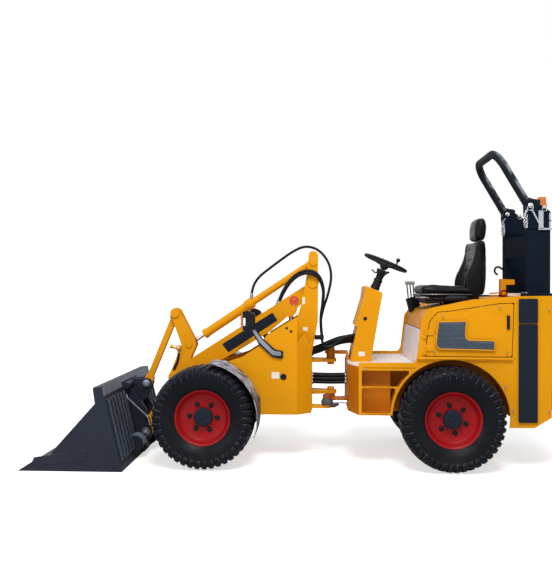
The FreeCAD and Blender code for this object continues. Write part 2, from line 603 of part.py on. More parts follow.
def rops_hoop():
    a = math.radians(HOOP_LEAN)
    r = HOOP_BEND
    up = HOOP_LENGTH
    p = [V(0, HOOP_Y, 0), V(0, HOOP_Y, up - r), V(0, HOOP_Y - r, up), V(0, -HOOP_Y + r, up),
         V(0, -HOOP_Y, up - r), V(0, -HOOP_Y, 0)]
    c = r * (1 - math.sqrt(0.5))
    path = Part.Wire([
        Part.LineSegment(p[0], p[1]).toShape(),
        Part.Arc(p[1], V(0, HOOP_Y - c, up - c), p[2]).toShape(),
        Part.LineSegment(p[2], p[3]).toShape(),
        Part.Arc(p[3], V(0, -HOOP_Y + c, up - c), p[4]).toShape(),
        Part.LineSegment(p[4], p[5]).toShape()])
    ring = Part.Wire([Part.Circle(p[0], V(0, 0, 1), HOOP_TUBE_R).toShape()])
    tube = path.makePipeShell([ring], True, False)
    hoop = tube
    for side in (1, -1):
        eye = Part.makeCylinder(HOOP_TUBE_R + 2, 60, V(0, side * HOOP_Y - 30, 0), V(0, 1, 0))
        hoop = hoop.fuse(eye)
    for side in (1, -1):
        hoop = hoop.cut(Part.makeCylinder(12 + RUN, 80, V(0, side * HOOP_Y - 40, 0), V(0, 1, 0)))
    hoop.rotate(V(0, 0, 0), V(0, 1, 0), math.degrees(a))
    hoop.translate(xz(HOOP_PIVOT))
    return hoop


BEACON_X, BEACON_Y, BEACON_Z = -1887.0, 226.0, 1846.0


def beacon():
    arm = box(BEACON_X - 20, BEACON_X + 20, BEACON_Y - 25, POST_Y[0] - CHEEK_T - SEAT_GAP, BEACON_Z - 12, BEACON_Z)
    post_up = post(BEACON_X, BEACON_Y, 12, BEACON_Z - 1, BEACON_Z + 61)
    base = post(BEACON_X, BEACON_Y, 38, BEACON_Z + 60, BEACON_Z + 74)
    dome = Part.makeCone(36, 30, 62, V(BEACON_X, BEACON_Y, BEACON_Z + 73), V(0, 0, 1))
    return fuse(arm, post_up, base, dome)


# ---------------------------------------------------------------- front frame
FRONT_SIDE = [(-59, 347), (-59, 1088), (175, 944), (223, 868), (357, 782, 60), (600, 700, 60), (735, 600, 40),
              (735, AXLE_Z + BEAM / 2 + SEAT_GAP), (525, AXLE_Z + BEAM / 2 + SEAT_GAP), (525, 347)]
TOWER = [(-170, 360), (-170, 800), (-216, 1045), (-216, 1560, 30), (-205, 1588, 30), (-150, 1588, 24), (-128, 1400), (-95, 1210),
         (-59, 1088), (40, 760, 80), (200, 620, 60), (525, 560), (525, 360)]
FRONT_REAR_X = -166.0
BEVEL_Y = 196.0


def front_frame():
    side = plate(FRONT_SIDE, FRONT_HALF_W - PLATE, FRONT_HALF_W)
    bevel = plan([(-60, FRONT_HALF_W - PLATE), (-60, FRONT_HALF_W), (FRONT_REAR_X, BEVEL_Y),
                  (FRONT_REAR_X, BEVEL_Y - PLATE - 2)], 347, 1010)
    slope = plate([(-40, 881), (-60, 899), (-120, 952), (-170, 838), (-400, 838), (-400, 1200), (-40, 1200)], 0, 400)
    bevel = bevel.cut(slope)
    tower = plate(TOWER, TOWER_IN_Y, TOWER_IN_Y + TOWER_T)
    cheeks = fuse(side, bevel, tower, disc_y(BOOM_PIVOT, 44, TOWER_IN_Y + TOWER_T - 1, TOWER_IN_Y + TOWER_T + 8),
                  disc_y(TILT_ANCHOR, 34, TOWER_IN_Y + TOWER_T - 1, TOWER_IN_Y + TOWER_T + 8))
    rear = box(FRONT_REAR_X, FRONT_REAR_X + PLATE, -BEVEL_Y, BEVEL_Y, 347, 890)
    tower_back = box(-216, -204, -TOWER_IN_Y - 2, TOWER_IN_Y + 2, 1045, 1245)
    bottom = box(FRONT_REAR_X, 490, -FRONT_HALF_W + 2, FRONT_HALF_W - 2, 347, 359)
    wedge = plan([(FRONT_REAR_X, BEVEL_Y - 2), (-60, FRONT_HALF_W - 2), (-60, 500), (-400, 500), (-400, BEVEL_Y - 2)],
                 300, 400)
    bottom = bottom.cut(both_sides(wedge))
    deck = box(80, 520, TOWER_IN_Y + 2, FRONT_HALF_W - 2, 620, 632)
    shelf = both_sides(deck)
    saddle = both_sides(box(500, 735, TOWER_IN_Y + TOWER_T - 2, FRONT_HALF_W - 2,
                            AXLE_Z + BEAM / 2 + SEAT_GAP, AXLE_Z + BEAM / 2 + SEAT_GAP + PLATE))
    pins = fuse(disc_y(BOOM_PIVOT, PIN_R, -TOWER_IN_Y - 1, TOWER_IN_Y + 1),
                disc_y(TILT_ANCHOR, PIN_R, -TOWER_IN_Y - 1, TOWER_IN_Y + 1),
                disc_y(LIFT_LOW, PIN_R, -TOWER_IN_Y - 1, TOWER_IN_Y + 1))
    ears = []
    for z0, z1 in (UPPER_FRONT_EAR, LOWER_FRONT_EAR):
        ear = plan([(FRONT_REAR_X + 4, -80), (FRONT_REAR_X + 4, 80), (PIVOT_X, 46), (PIVOT_X, -46)], z0, z1)
        ear = fuse(ear, post(PIVOT_X, 0, 46, z0, z1))
        ears.append(ear.cut(post(PIVOT_X, 0, PIN_R + RUN, z0 - 1, z1 + 1)))
    lug = plan([(FRONT_REAR_X + 4, STEER_Y - 60), (FRONT_REAR_X + 4, STEER_Y + 22), (STEER_EYE_X - 22, STEER_Y + 22, 20),
                (STEER_EYE_X - 22, STEER_Y - 22, 20)], STEER_Z - 48, STEER_Z - 26)
    return fuse(both_sides(cheeks), rear, tower_back, bottom, shelf, saddle, pins, lug, *ears)


def fenders():
    at = (FRONT_AXLE_X, AXLE_Z)
    y0, y1 = FRONT_HALF_W + 22.0, TRACK / 2 + TYRE_W / 2 - 36.0
    r = TYRE_R + 21.0
    guard = disc_y(at, r + 6, y0, y1).cut(disc_y(at, r, y0 - 1, y1 + 1))
    a0, a1 = math.radians(97), math.radians(200)
    keep_zone = plate([at, (at[0] + 600 * math.cos(a0), at[1] + 600 * math.sin(a0)),
                       (at[0] - 500, at[1] + 600), (at[0] - 600, at[1]),
                       (at[0] + 600 * math.cos(a1), at[1] + 600 * math.sin(a1))], y0 - 2, y1 + 2)
    guard = guard.common(keep_zone)
    brackets = []
    for deg in (110, 165):
        a = math.radians(deg)
        foot = (at[0] + (r + 9) * math.cos(a), at[1] + (r + 9) * math.sin(a))
        bar = box(-20, 20, FRONT_HALF_W + SEAT_GAP, y0 + 40, -4, 4)
        bar.rotate(V(0, 0, 0), V(0, 1, 0), 90 - deg)
        bar.translate(V(foot[0], 0, foot[1]))
        brackets.append(bar)
    return pair(fuse(guard, *brackets))


def lamps():
    y = 318.0
    bracket = plate([(48, 770, 10), (125, 780, 60), (232, 878, 60), (292, 990, 10), (256, 1002, 10), (203, 925, 60),
                     (108, 838, 60), (48, 828, 10)], FRONT_HALF_W + SEAT_GAP, FRONT_HALF_W + 14)
    pod = plate([(262, 990, 20), (257, 1110, 30), (318, 1135, 30), (350, 1120, 8), (350, 986, 14)], y - 42, y + 46)
    lens = box(349, 356, y - 32, y + 36, 1006, 1112)
    return pair(fuse(bracket, pod, lens))


# ---------------------------------------------------------------- boom and linkage
BOOM_SIDE = [(-190, 1369), (760, 764), (862, 700, 60), (1180, 205), (1098, 140), (778, 600, 90), (700, 656, 90),
             (430, 797, 200), (159, 962, 120), (-52, 1142, 80), (-208, 1306)]
BOOM_CORE = [(-150, 1330), (-143, 1330), (745, 762), (795, 690), (838, 620), (846, 560), (900, 508), (955, 522),
             (1000, 470), (1168, 210), (1110, 150), (785, 604, 80), (703, 668, 80), (434, 810, 200), (166, 974, 120),
             (-44, 1154, 80), (-150, 1266)]


def turned(point, centre, angle):
    """A point turned about a centre in side view, by an angle in radians from +X towards +Z."""
    c, d = math.cos(angle), math.sin(angle)
    x, z = point[0] - centre[0], point[1] - centre[1]
    return (centre[0] + x * c - z * d, centre[1] + x * d + z * c)


def lift_room():
    """Where the lift cylinder passes inside the boom, over the whole lift."""
    dx, dz = LIFT_TOP[0] - LIFT_LOW[0], LIFT_TOP[1] - LIFT_LOW[1]
    length, start = math.hypot(dx, dz), math.atan2(dz, dx)
    swept = []
    for i in range(13):
        lift = math.radians(LIFT_TRAVEL) * i / 12
        aim = start + LIFT_SWING * lift
        reach = length + LIFT_STRETCH * lift
        eye = (LIFT_LOW[0] + reach * math.cos(aim), LIFT_LOW[1] + reach * math.sin(aim))
        mouth = toward(eye, LIFT_LOW, LIFT_GLAND + LIFT_STRETCH * lift)
        eye, mouth, foot = [turned(p, BOOM_PIVOT, -lift) for p in (eye, mouth, LIFT_LOW)]
        swept.append(strap(eye, LIFT_EYE_R + 7, mouth, LIFT_BARREL_R + 6.9, -49, 49))
        swept.append(strap(mouth, LIFT_BARREL_R + 7, foot, LIFT_BARREL_R + 6.9, -49, 49))
    return swept


def crank_room():
    """Where the bellcrank passes inside the boom's fork, over its whole swing."""
    swept = []
    for deg in (15.5, 8, 0, -30, -60, -90):
        eye = turned(CRANK_ROD_EYE, CRANK_PIVOT, math.radians(deg))
        swept.append(strap(CRANK_PIVOT, CRANK_FOOT_R + 8, eye, CRANK_EYE_R + 8, -80, 80))
    return swept


def boom():
    side = fuse(plate(BOOM_SIDE, BOOM_CORE_HALF_W - 1, BOOM_HALF_W),
                disc_y(BOOM_PIVOT, 46, BOOM_CORE_HALF_W - 1, TOWER_IN_Y - 2),
                disc_y(CRANK_PIVOT, 50, BOOM_CORE_HALF_W - 1, BOOM_HALF_W),
                disc_y(LIFT_TOP, 54, BOOM_CORE_HALF_W - 1, BOOM_HALF_W),
                disc_y(HITCH_PIVOT, 50, BOOM_CORE_HALF_W - 1, BOOM_HALF_W))
    core = fuse(plate(BOOM_CORE, -BOOM_CORE_HALF_W, BOOM_CORE_HALF_W),
                disc_y(BOOM_PIVOT, 46, -BOOM_CORE_HALF_W, BOOM_CORE_HALF_W))
    core = core.cut(disc_y(HITCH_PIVOT, NOSE_DRUM_R + 3, -BOOM_CORE_HALF_W - 1, BOOM_CORE_HALF_W + 1))
    core = core.cut(lift_room())
    core = core.cut(crank_room())
    beam = fuse(both_sides(side), core)
    beam = beam.cut(disc_y(BOOM_PIVOT, PIN_R + RUN, -200, 200))
    beam = beam.cut(disc_y(CRANK_PIVOT, PIN_R + RUN, -200, 200))
    return beam.cut(disc_y(HITCH_PIVOT, PIN_R + RUN, -200, 200))


def pin(at, half, head_r, head_t=8.0, drum_r=0.0, drums=()):
    """A loose pin with a washer head on each end and spacer drums from y0 to y1, on both sides."""
    body = disc_y(at, PIN_R, -half, half)
    heads = [disc_y(at, head_r, half - head_t, half), disc_y(at, head_r, -half, -half + head_t)]
    for y0, y1 in drums:
        heads.append(disc_y(at, drum_r, y0, y1))
        heads.append(disc_y(at, drum_r, -y1, -y0))
    return fuse(body, *heads)


def bellcrank():
    arm = fuse(strap(CRANK_PIVOT, CRANK_FOOT_R, CRANK_ROD_EYE, CRANK_EYE_R, 0, CRANK_T),
               strap(CRANK_ROD_EYE, CRANK_EYE_R, CRANK_TOP, CRANK_TOP_R, 0, CRANK_T))
    arm.translate(V(0, CRANK_IN_Y, 0))
    cap = disc_y(CRANK_ROD_EYE, 26, CRANK_IN_Y + CRANK_T - 1, CRANK_IN_Y + CRANK_T + 7)
    middle = ((CRANK_ROD_EYE[0] + CRANK_TOP[0]) / 2, (CRANK_ROD_EYE[1] + CRANK_TOP[1]) / 2)
    cross_tube = disc_y(middle, 26, -CRANK_IN_Y - 1, CRANK_IN_Y + 1)
    crank = fuse(both_sides(fuse(arm, cap)), cross_tube)
    crank = crank.cut(disc_y(CRANK_PIVOT, PIN_R + RUN, -200, 200))
    return crank.cut(disc_y(CRANK_TOP, PIN_R + RUN, -200, 200))


def tilt_link():
    bar = strap(CRANK_TOP, 34, HITCH_TOP, 34, -EYE_HALF_W, EYE_HALF_W)
    length = math.hypot(HITCH_TOP[0] - CRANK_TOP[0], HITCH_TOP[1] - CRANK_TOP[1])
    a, b = toward(CRANK_TOP, HITCH_TOP, 55), toward(CRANK_TOP, HITCH_TOP, length - 55)
    slim = []
    ux, uz = (b[0] - a[0]) / (length - 110), (b[1] - a[1]) / (length - 110)
    for side in (1, -1):
        near = [(p[0] - side * uz * 23, p[1] + side * ux * 23) for p in (a, b)]
        far = [(p[0] - side * uz * 60, p[1] + side * ux * 60) for p in (b, a)]
        slim.append(plate(near + far, -60, 60))
    bar = bar.cut(Part.makeCompound(slim))
    return bar.cut(disc_y(CRANK_TOP, PIN_R + RUN, -200, 200))


TILT_TUBE_R = 27.0
TILT_BARREL_R = 35.0
TILT_ROD_R = 15.0
TILT_GLAND = 138.0            # from the rod's eye to the barrel's mouth, at rest
TILT_BARREL = 440.0


def cylinder_rod(eye, base, eye_r, rod_r, half_w, bore_depth):
    """Round rod with its eye; it reaches bore_depth from the eye towards the barrel's foot."""
    inner = toward(eye, base, bore_depth)
    return fuse(rod(xz(toward(eye, base, 12)), xz(inner), rod_r), disc_y(eye, eye_r, -half_w, half_w))


def tilt_barrel():
    start = toward(CRANK_ROD_EYE, TILT_ANCHOR, TILT_GLAND)
    end = toward(CRANK_ROD_EYE, TILT_ANCHOR, TILT_GLAND + TILT_BARREL)
    lip = toward(CRANK_ROD_EYE, TILT_ANCHOR, TILT_GLAND + 30)
    body = fuse(rod(xz(start), xz(end), TILT_BARREL_R), rod(xz(start), xz(lip), TILT_BARREL_R + 4),
                rod(xz(end), xz(TILT_ANCHOR), TILT_TUBE_R), disc_y(TILT_ANCHOR, 36, -42, 42))
    bore_end = toward(CRANK_ROD_EYE, TILT_ANCHOR, TILT_GLAND + TILT_BARREL - 20)
    before = toward(CRANK_ROD_EYE, TILT_ANCHOR, TILT_GLAND - 1)
    body = body.cut(rod(xz(before), xz(bore_end), TILT_ROD_R + RUN))
    return body.cut(disc_y(TILT_ANCHOR, PIN_R + RUN, -100, 100))


def tilt_rod():
    return cylinder_rod(CRANK_ROD_EYE, TILT_ANCHOR, 30, TILT_ROD_R, EYE_HALF_W, TILT_GLAND + 200)


LIFT_BARREL_R = 38.0
LIFT_ROD_R = 20.0
LIFT_GLAND = 95.0
LIFT_EYE_R = 34.0


def lift_barrel():
    start = toward(LIFT_TOP, LIFT_LOW, LIFT_GLAND)
    end = toward(LIFT_LOW, LIFT_TOP, 30)
    body = fuse(rod(xz(start), xz(end), LIFT_BARREL_R), disc_y(LIFT_LOW, 38, -42, 42))
    floor = toward(LIFT_LOW, LIFT_TOP, 62)
    before = toward(LIFT_TOP, LIFT_LOW, LIFT_GLAND - 1)
    body = body.cut(rod(xz(before), xz(floor), LIFT_ROD_R + RUN))
    return body.cut(disc_y(LIFT_LOW, PIN_R + RUN, -100, 100))


def lift_rod():
    length = math.hypot(LIFT_TOP[0] - LIFT_LOW[0], LIFT_TOP[1] - LIFT_LOW[1])
    return cylinder_rod(LIFT_TOP, LIFT_LOW, LIFT_EYE_R, LIFT_ROD_R, EYE_HALF_W, length - 66)


STEER_BARREL_R = 26.0
STEER_ROD_R = 13.0


def steer_barrel():
    y = STEER_Y
    foot = V(STEER_FOOT_X, y, STEER_Z)
    body = fuse(rod(foot + V(20, 0, 0), V(-480, y, STEER_Z), STEER_BARREL_R),
                Part.makeCylinder(28, 56, foot + V(0, 0, -28), V(0, 0, 1)))
    body = body.cut(rod(V(STEER_FOOT_X + 60, y, STEER_Z), V(-470, y, STEER_Z), STEER_ROD_R + RUN))
    return body.cut(post(STEER_FOOT_X, y, 18 + RUN, 300, 600))


def steer_rod():
    y = STEER_Y
    eye = fuse(post(STEER_EYE_X, y, 28, STEER_Z - 25, STEER_Z + 25), post(STEER_EYE_X, y, 15, STEER_Z, STEER_Z + 34))
    return fuse(rod(V(STEER_EYE_X - 8, y, STEER_Z), V(-690, y, STEER_Z), STEER_ROD_R), eye)


# ---------------------------------------------------------------- hitch and bucket
HEEL = (1171.0, 0.0)
BUCKET_TOP = (1315.0, 605.0)
BACK_LENGTH = math.hypot(BUCKET_TOP[0] - HEEL[0], BUCKET_TOP[1] - HEEL[1])
BACK_UX = (BUCKET_TOP[0] - HEEL[0]) / BACK_LENGTH
BACK_UZ = (BUCKET_TOP[1] - HEEL[1]) / BACK_LENGTH


def off_back(along, behind):
    """A point so far up the bucket's back and so far behind it."""
    return (HEEL[0] + along * BACK_UX - behind * BACK_UZ, HEEL[1] + along * BACK_UZ + behind * BACK_UX)


HITCH_HALF_W = 215.0


def quick_hitch():
    face = plate([off_back(70, SEAT_GAP), off_back(590, SEAT_GAP), off_back(590, 14), off_back(70, 14)], -HITCH_HALF_W, HITCH_HALF_W)
    top_tube = disc_y(off_back(555, 32), 26, -HITCH_HALF_W, HITCH_HALF_W)
    low_tube = disc_y(off_back(62, 40), 38, -HITCH_HALF_W, HITCH_HALF_W)
    top_tube = top_tube.cut(plate([off_back(0, SEAT_GAP), off_back(700, SEAT_GAP), off_back(700, -90),
                                   off_back(0, -90)], -400, 400))
    low_tube = low_tube.cut(plate([off_back(0, SEAT_GAP), off_back(700, SEAT_GAP), off_back(700, -90),
                                   off_back(0, -90)], -400, 400))
    nose = BOOM_HALF_W + SIDE_GAP
    low_tube = low_tube.cut(box(900, 1400, -400, 400, -50, 2))
    low_tube = low_tube.cut(box(900, 1400, -nose, nose, -50, 200))
    ear = plate([off_back(300, 10), off_back(590, 10), off_back(590, 40), (HITCH_TOP[0] + 10, HITCH_TOP[1] + 40, 20),
                 (HITCH_TOP[0] - 40, HITCH_TOP[1] + 30, 30), (HITCH_TOP[0] - 30, HITCH_TOP[1] - 40, 30)],
                CRANK_IN_Y, CRANK_IN_Y + CRANK_T)
    ear = fuse(ear, disc_y(HITCH_TOP, 40, CRANK_IN_Y, CRANK_IN_Y + CRANK_T),
               disc_y(HITCH_TOP, 27, CRANK_IN_Y + CRANK_T - 1, CRANK_IN_Y + CRANK_T + 9))
    low_in = BOOM_HALF_W + SIDE_GAP
    cheek = plate([off_back(60, 10), off_back(560, 10), off_back(540, 40), off_back(330, 120, ) + (40,),
                   (HITCH_PIVOT[0] - 52, HITCH_PIVOT[1] + 20, 30), (HITCH_PIVOT[0] - 40, HITCH_PIVOT[1] - 50, 30)],
                  low_in, low_in + CRANK_T)
    cheek = fuse(cheek, disc_y(HITCH_PIVOT, 52, low_in, low_in + CRANK_T))
    frame = fuse(face, top_tube, low_tube, both_sides(fuse(ear, cheek)))
    frame = frame.cut(disc_y(HITCH_PIVOT, PIN_R + RUN, -200, 200))
    return frame


BUCKET_PROFILE = [(1926, 0), (1817, 68), (1703, 90), (1641, 177), (1365, 483), (1382, 596, 10), (1315, 605), (1171, 0)]


RIB_COUNT = 6


def bucket():
    w = BUCKET_HALF_W
    strip_t = 6.0
    side = plate(BUCKET_PROFILE, w - strip_t - BUCKET_SIDE_T, w - strip_t)
    strip = plate([(1852, 30), (1817, 68), (1803, 99), (1424, 155, 10), (1414, 84, 10)], w - strip_t - 1, w)
    t = BUCKET_SHEET
    inner_w = w - strip_t - BUCKET_SIDE_T + 1
    floor = plate([(1171, 0), (1900, 0), (1926, 0), (1880, 16), (1180, t)], -inner_w, inner_w)
    back = plate([(1171, 0), (1315, 605), (1315 + t, 603), (1171 + t, 0)], -inner_w, inner_w)
    heel = plate([(1173, 4), (1215, 140), (1290, 8)], -inner_w, inner_w)
    rim_bar = plate([off_back(560, 0), (1315, 605), (1382, 596), (1380, 580), (1328, 585)], -inner_w, inner_w)
    ribs = []
    for i in range(RIB_COUNT):
        y = HITCH_HALF_W + 45 + (w - HITCH_HALF_W - 90) * i / (RIB_COUNT - 1)
        ribs.append(both_sides(plate([off_back(70, -1), off_back(530, -1), off_back(515, 16), off_back(85, 16)],
                                     y - 17, y + 17)))
    return fuse(both_sides(side), both_sides(strip), floor, back, heel, rim_bar, *ribs)


# ---------------------------------------------------------------- build
def build():
    wheels()
    keep("front_axle", axle(FRONT_AXLE_X, -1))
    keep("rear_axle", axle(REAR_AXLE_X, 1))
    keep("rear_frame", rear_frame())
    keep("pivot_pins", pivot_pins())
    left_panel = side_panel()
    keep("side_panel_left", left_panel)
    keep("side_panel_right", left_panel.mirror(V(0, 0, 0), V(0, 1, 0)))
    left_door = door()
    keep("door_left", left_door)
    keep("door_right", left_door.mirror(V(0, 0, 0), V(0, 1, 0)))
    keep("hood", hood())
    keep("riser_plate", riser_plate())
    keep("floor_plate", floor_plate())
    keep("tail_panel", tail_panel())
    keep("tail_bumper", tail_bumper())
    keep("tow_hitch", tow_hitch())
    keep("engine_block", engine_block())
    keep("dash_tower", dash_tower())
    keep("steering_column", steering_column())
    keep("steering_wheel", steering_wheel())
    keep("seat_base", seat_base())
    keep("seat_cushion", seat_cushion())
    keep("seat_back", seat_back())
    keep("headrest", headrest())
    keep("control_levers", control_levers())
    keep("rops_posts", rops_posts())
    keep("rops_hoop", rops_hoop())
    keep("beacon", beacon())
    keep("front_frame", front_frame())
    keep("front_fenders", fenders())
    keep("work_lamps", lamps())
    keep("boom", boom())
    keep("hitch_pin", pin(HITCH_PIVOT, BOOM_HALF_W + SIDE_GAP + CRANK_T + 14, 36, 12,
                          NOSE_DRUM_R, ((0, BOOM_CORE_HALF_W - 2),)))
    keep("crank_pin", pin(CRANK_PIVOT, BOOM_HALF_W + 10, 30, 8, CRANK_FOOT_R - 2,
                          ((0, CRANK_IN_Y - 1), (CRANK_IN_Y + CRANK_T + 1, BOOM_CORE_HALF_W - 2))))
    keep("link_pin", pin(CRANK_TOP, CRANK_IN_Y + CRANK_T + 14, 34, 12))
    keep("bellcrank", bellcrank())
    keep("tilt_link", tilt_link())
    keep("tilt_barrel", tilt_barrel())
    keep("tilt_rod", tilt_rod())
    keep("lift_barrel", lift_barrel())
    keep("lift_rod", lift_rod())
    keep("steer_barrel", steer_barrel())
    keep("steer_rod", steer_rod())
    keep("quick_hitch", quick_hitch())
    keep("bucket", bucket())


build()
os.makedirs("parts", exist_ok=True)
for name, shape in PARTS.items():
    shape.exportStep(f"parts/{name}.step")
    print(name, len(shape.Solids), shape.isValid(), round(shape.Volume / 1e6, 3))
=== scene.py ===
# %% [markdown]
# # A compact articulated wheel loader, dressed
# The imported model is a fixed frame: every CAD node is already in its place, in metres, with +X
# forward, +Y to the driver's left and +Z up. This lesson gives those nodes their finishes, and adds
# the pieces that are easier to describe as surfaces than as solids: tread, upholstery, hoses, bolts.

# %% Load the frame
import bmesh
import bpy
import json
import math
import numpy as np
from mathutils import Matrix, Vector


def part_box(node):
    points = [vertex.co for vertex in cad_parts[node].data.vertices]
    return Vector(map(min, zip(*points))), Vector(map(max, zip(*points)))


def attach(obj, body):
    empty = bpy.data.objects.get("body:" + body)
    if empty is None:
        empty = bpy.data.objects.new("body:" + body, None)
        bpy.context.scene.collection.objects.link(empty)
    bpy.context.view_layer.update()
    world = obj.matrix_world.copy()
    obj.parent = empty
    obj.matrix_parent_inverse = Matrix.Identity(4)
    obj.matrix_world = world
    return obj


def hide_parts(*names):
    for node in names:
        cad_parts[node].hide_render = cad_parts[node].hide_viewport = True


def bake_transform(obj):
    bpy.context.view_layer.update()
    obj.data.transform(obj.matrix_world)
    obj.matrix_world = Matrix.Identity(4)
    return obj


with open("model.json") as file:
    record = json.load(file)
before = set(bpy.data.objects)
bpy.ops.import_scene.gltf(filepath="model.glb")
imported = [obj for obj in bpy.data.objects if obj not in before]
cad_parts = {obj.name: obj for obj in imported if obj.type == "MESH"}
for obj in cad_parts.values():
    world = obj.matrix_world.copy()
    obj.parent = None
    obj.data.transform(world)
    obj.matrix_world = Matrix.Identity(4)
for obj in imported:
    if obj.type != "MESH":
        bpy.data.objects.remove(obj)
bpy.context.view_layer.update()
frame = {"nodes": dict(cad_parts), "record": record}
nodes = frame["nodes"]

# %% [markdown]
# ## Surfaces from numpy
# A shape here is a grid of points worked out as whole arrays, with a face between neighbours on
# that grid. The helpers below close a grid in one or both directions, hand it to a mesh, and put
# several shapes together, so that every later cell is only a formula. Pushing vertices by hand would
# end in the same faces, but a formula can be read, measured and changed.

# %% Grid and mesh helpers
MERGE = 1e-6
CREASE = 40  # degrees: a fold sharper than this stays an edge in the shading
SIDES = (("left", 1), ("right", -1))


def grid_faces(rows, cols, wrap_rows=False, wrap_cols=False):
    """Quads joining a rows x cols grid of points; a wrapped direction joins its end to its start."""
    i = np.arange(rows if wrap_rows else rows - 1)
    j = np.arange(cols if wrap_cols else cols - 1)
    i, j = (a.ravel() for a in np.meshgrid(i, j, indexing="ij"))
    i2, j2 = (i + 1) % rows, (j + 1) % cols
    return np.stack([i * cols + j, i * cols + j2, i2 * cols + j2, i2 * cols + j], 1)


def mesh_piece(name, points, faces, material, body, slot, smooth=True):
    """A mesh object from an (n, 3) array and faces, riding on a body. Points that fall on each other at
    a pole or a seam are merged, and then every closed shell is turned so that its faces look out.
    smooth is True, False, or the angle in degrees past which an edge stays sharp."""
    mesh = bpy.data.meshes.new(name)
    mesh.from_pydata(np.asarray(points, float).reshape(-1, 3).tolist(), [],
                     [list(map(int, f)) for f in faces])
    work = bmesh.new()
    work.from_mesh(mesh)
    bmesh.ops.remove_doubles(work, verts=work.verts, dist=MERGE)
    bmesh.ops.recalc_face_normals(work, faces=work.faces)
    work.to_mesh(mesh)
    work.free()
    mesh.polygons.foreach_set("use_smooth", np.full(len(mesh.polygons), bool(smooth)))
    if smooth and smooth is not True:
        mesh.set_sharp_from_angle(angle=math.radians(smooth))
    mesh.materials.append(material)
    piece = bpy.data.objects.new(name, mesh)
    bpy.context.scene.collection.objects.link(piece)
    if body:
        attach(piece, body)
    return piece


def joined(shapes):
    """Several (points, faces) as one."""
    points, faces, base = [], [], 0
    for p, f in shapes:
        p = np.asarray(p, float).reshape(-1, 3)
        points.append(p)
        faces += [[int(i) + base for i in face] for face in f]
        base += len(p)
    return np.concatenate(points), faces


print("faces of a 3 x 4 grid, open and closed:", len(grid_faces(3, 4)), len(grid_faces(3, 4, True, True)))

# %% [markdown]
# ## Colours
# A colour is chosen by its screen values, as on a paint chart. A shader works with linear light, so
# each chosen colour goes once through the screen's own curve.


# %% Colour helper
def srgb(r, g, b):
    """Screen values 0-255 to the linear colour that the shader wants."""
    c = np.array([r, g, b]) / 255
    lin = np.where(c <= 0.04045, c / 12.92, ((c + 0.055) / 1.055) ** 2.4)
    return (*lin.tolist(), 1.0)


print("middle grey:", [round(v, 3) for v in srgb(128, 128, 128)])

# %% [markdown]
# ## Node helpers
# A material is a small graph of nodes. It could be placed by hand in the shader editor, but every
# finish here needs the same graph with other values, so short functions place a node, plug a value
# or a link into it, and return its output for the next one.


# %% Node helpers
def add(tree, kind, **settings):
    """A new node of one kind, with its settings."""
    node = tree.nodes.new(kind)
    for key, value in settings.items():
        setattr(node, key, value)
    return node


def feed(tree, value, socket):
    """Link an output to a socket, or write a plain value into it."""
    if isinstance(value, bpy.types.NodeSocket):
        tree.links.new(value, socket)
    else:
        socket.default_value = value


def noise(tree, vector, scale, detail=3.0, rough=0.55):
    """Soft noise of about 0 to 1 at each point of vector times scale."""
    n = add(tree, "ShaderNodeTexNoise")
    for label, value in (("Vector", vector), ("Scale", scale), ("Detail", detail), ("Roughness", rough)):
        feed(tree, value, n.inputs[label])
    return n.outputs["Fac"]


def math_node(tree, operation, a, b, clamp=False):
    """One sum or product of a and b, each a number or a link."""
    n = add(tree, "ShaderNodeMath", operation=operation, use_clamp=clamp)
    feed(tree, a, n.inputs[0])
    feed(tree, b, n.inputs[1])
    return n.outputs[0]


def ramp(tree, value, low, high):
    """0 to 1 as value goes from low to high, smoothly; low may be the larger."""
    n = add(tree, "ShaderNodeMapRange", interpolation_type="SMOOTHSTEP")
    for label, given in (("Value", value), ("From Min", low), ("From Max", high)):
        feed(tree, given, n.inputs[label])
    return n.outputs["Result"]


def mix_colour(tree, factor, a, b):
    """a where factor is 0, b where it is 1. Sockets 0, 6 and 7 are a colour Mix's factor, A and B."""
    n = add(tree, "ShaderNodeMix", data_type="RGBA")
    for value, socket in ((factor, n.inputs[0]), (a, n.inputs[6]), (b, n.inputs[7])):
        feed(tree, value, socket)
    return n.outputs[2]


print("node helpers:", [f.__name__ for f in (add, feed, noise, math_node, ramp, mix_colour)])


# %% [markdown]
# ## Shared effects
# Paint, plastic and rubber share the same small effects: dust that settles low down and on ledges,
# paler edges, which are partly rubbed paint and partly a painted highlight, and colour, gloss and grain
# that are never quite even. Each effect is one node group with named sockets, built once and placed in
# every finish with its own values.


# %% Group builder and dust
def new_group(name, inputs, outputs):
    """An empty shader group of plain numbers in; outputs are (name, kind)."""
    tree = bpy.data.node_groups.new(name, "ShaderNodeTree")
    for label, default in inputs:
        socket = tree.interface.new_socket(name=label, in_out="INPUT", socket_type="NodeSocketFloat")
        socket.default_value = default
    for label, kind in outputs:
        tree.interface.new_socket(name=label, in_out="OUTPUT", socket_type=kind)
    return tree, tree.nodes.new("NodeGroupInput"), tree.nodes.new("NodeGroupOutput")


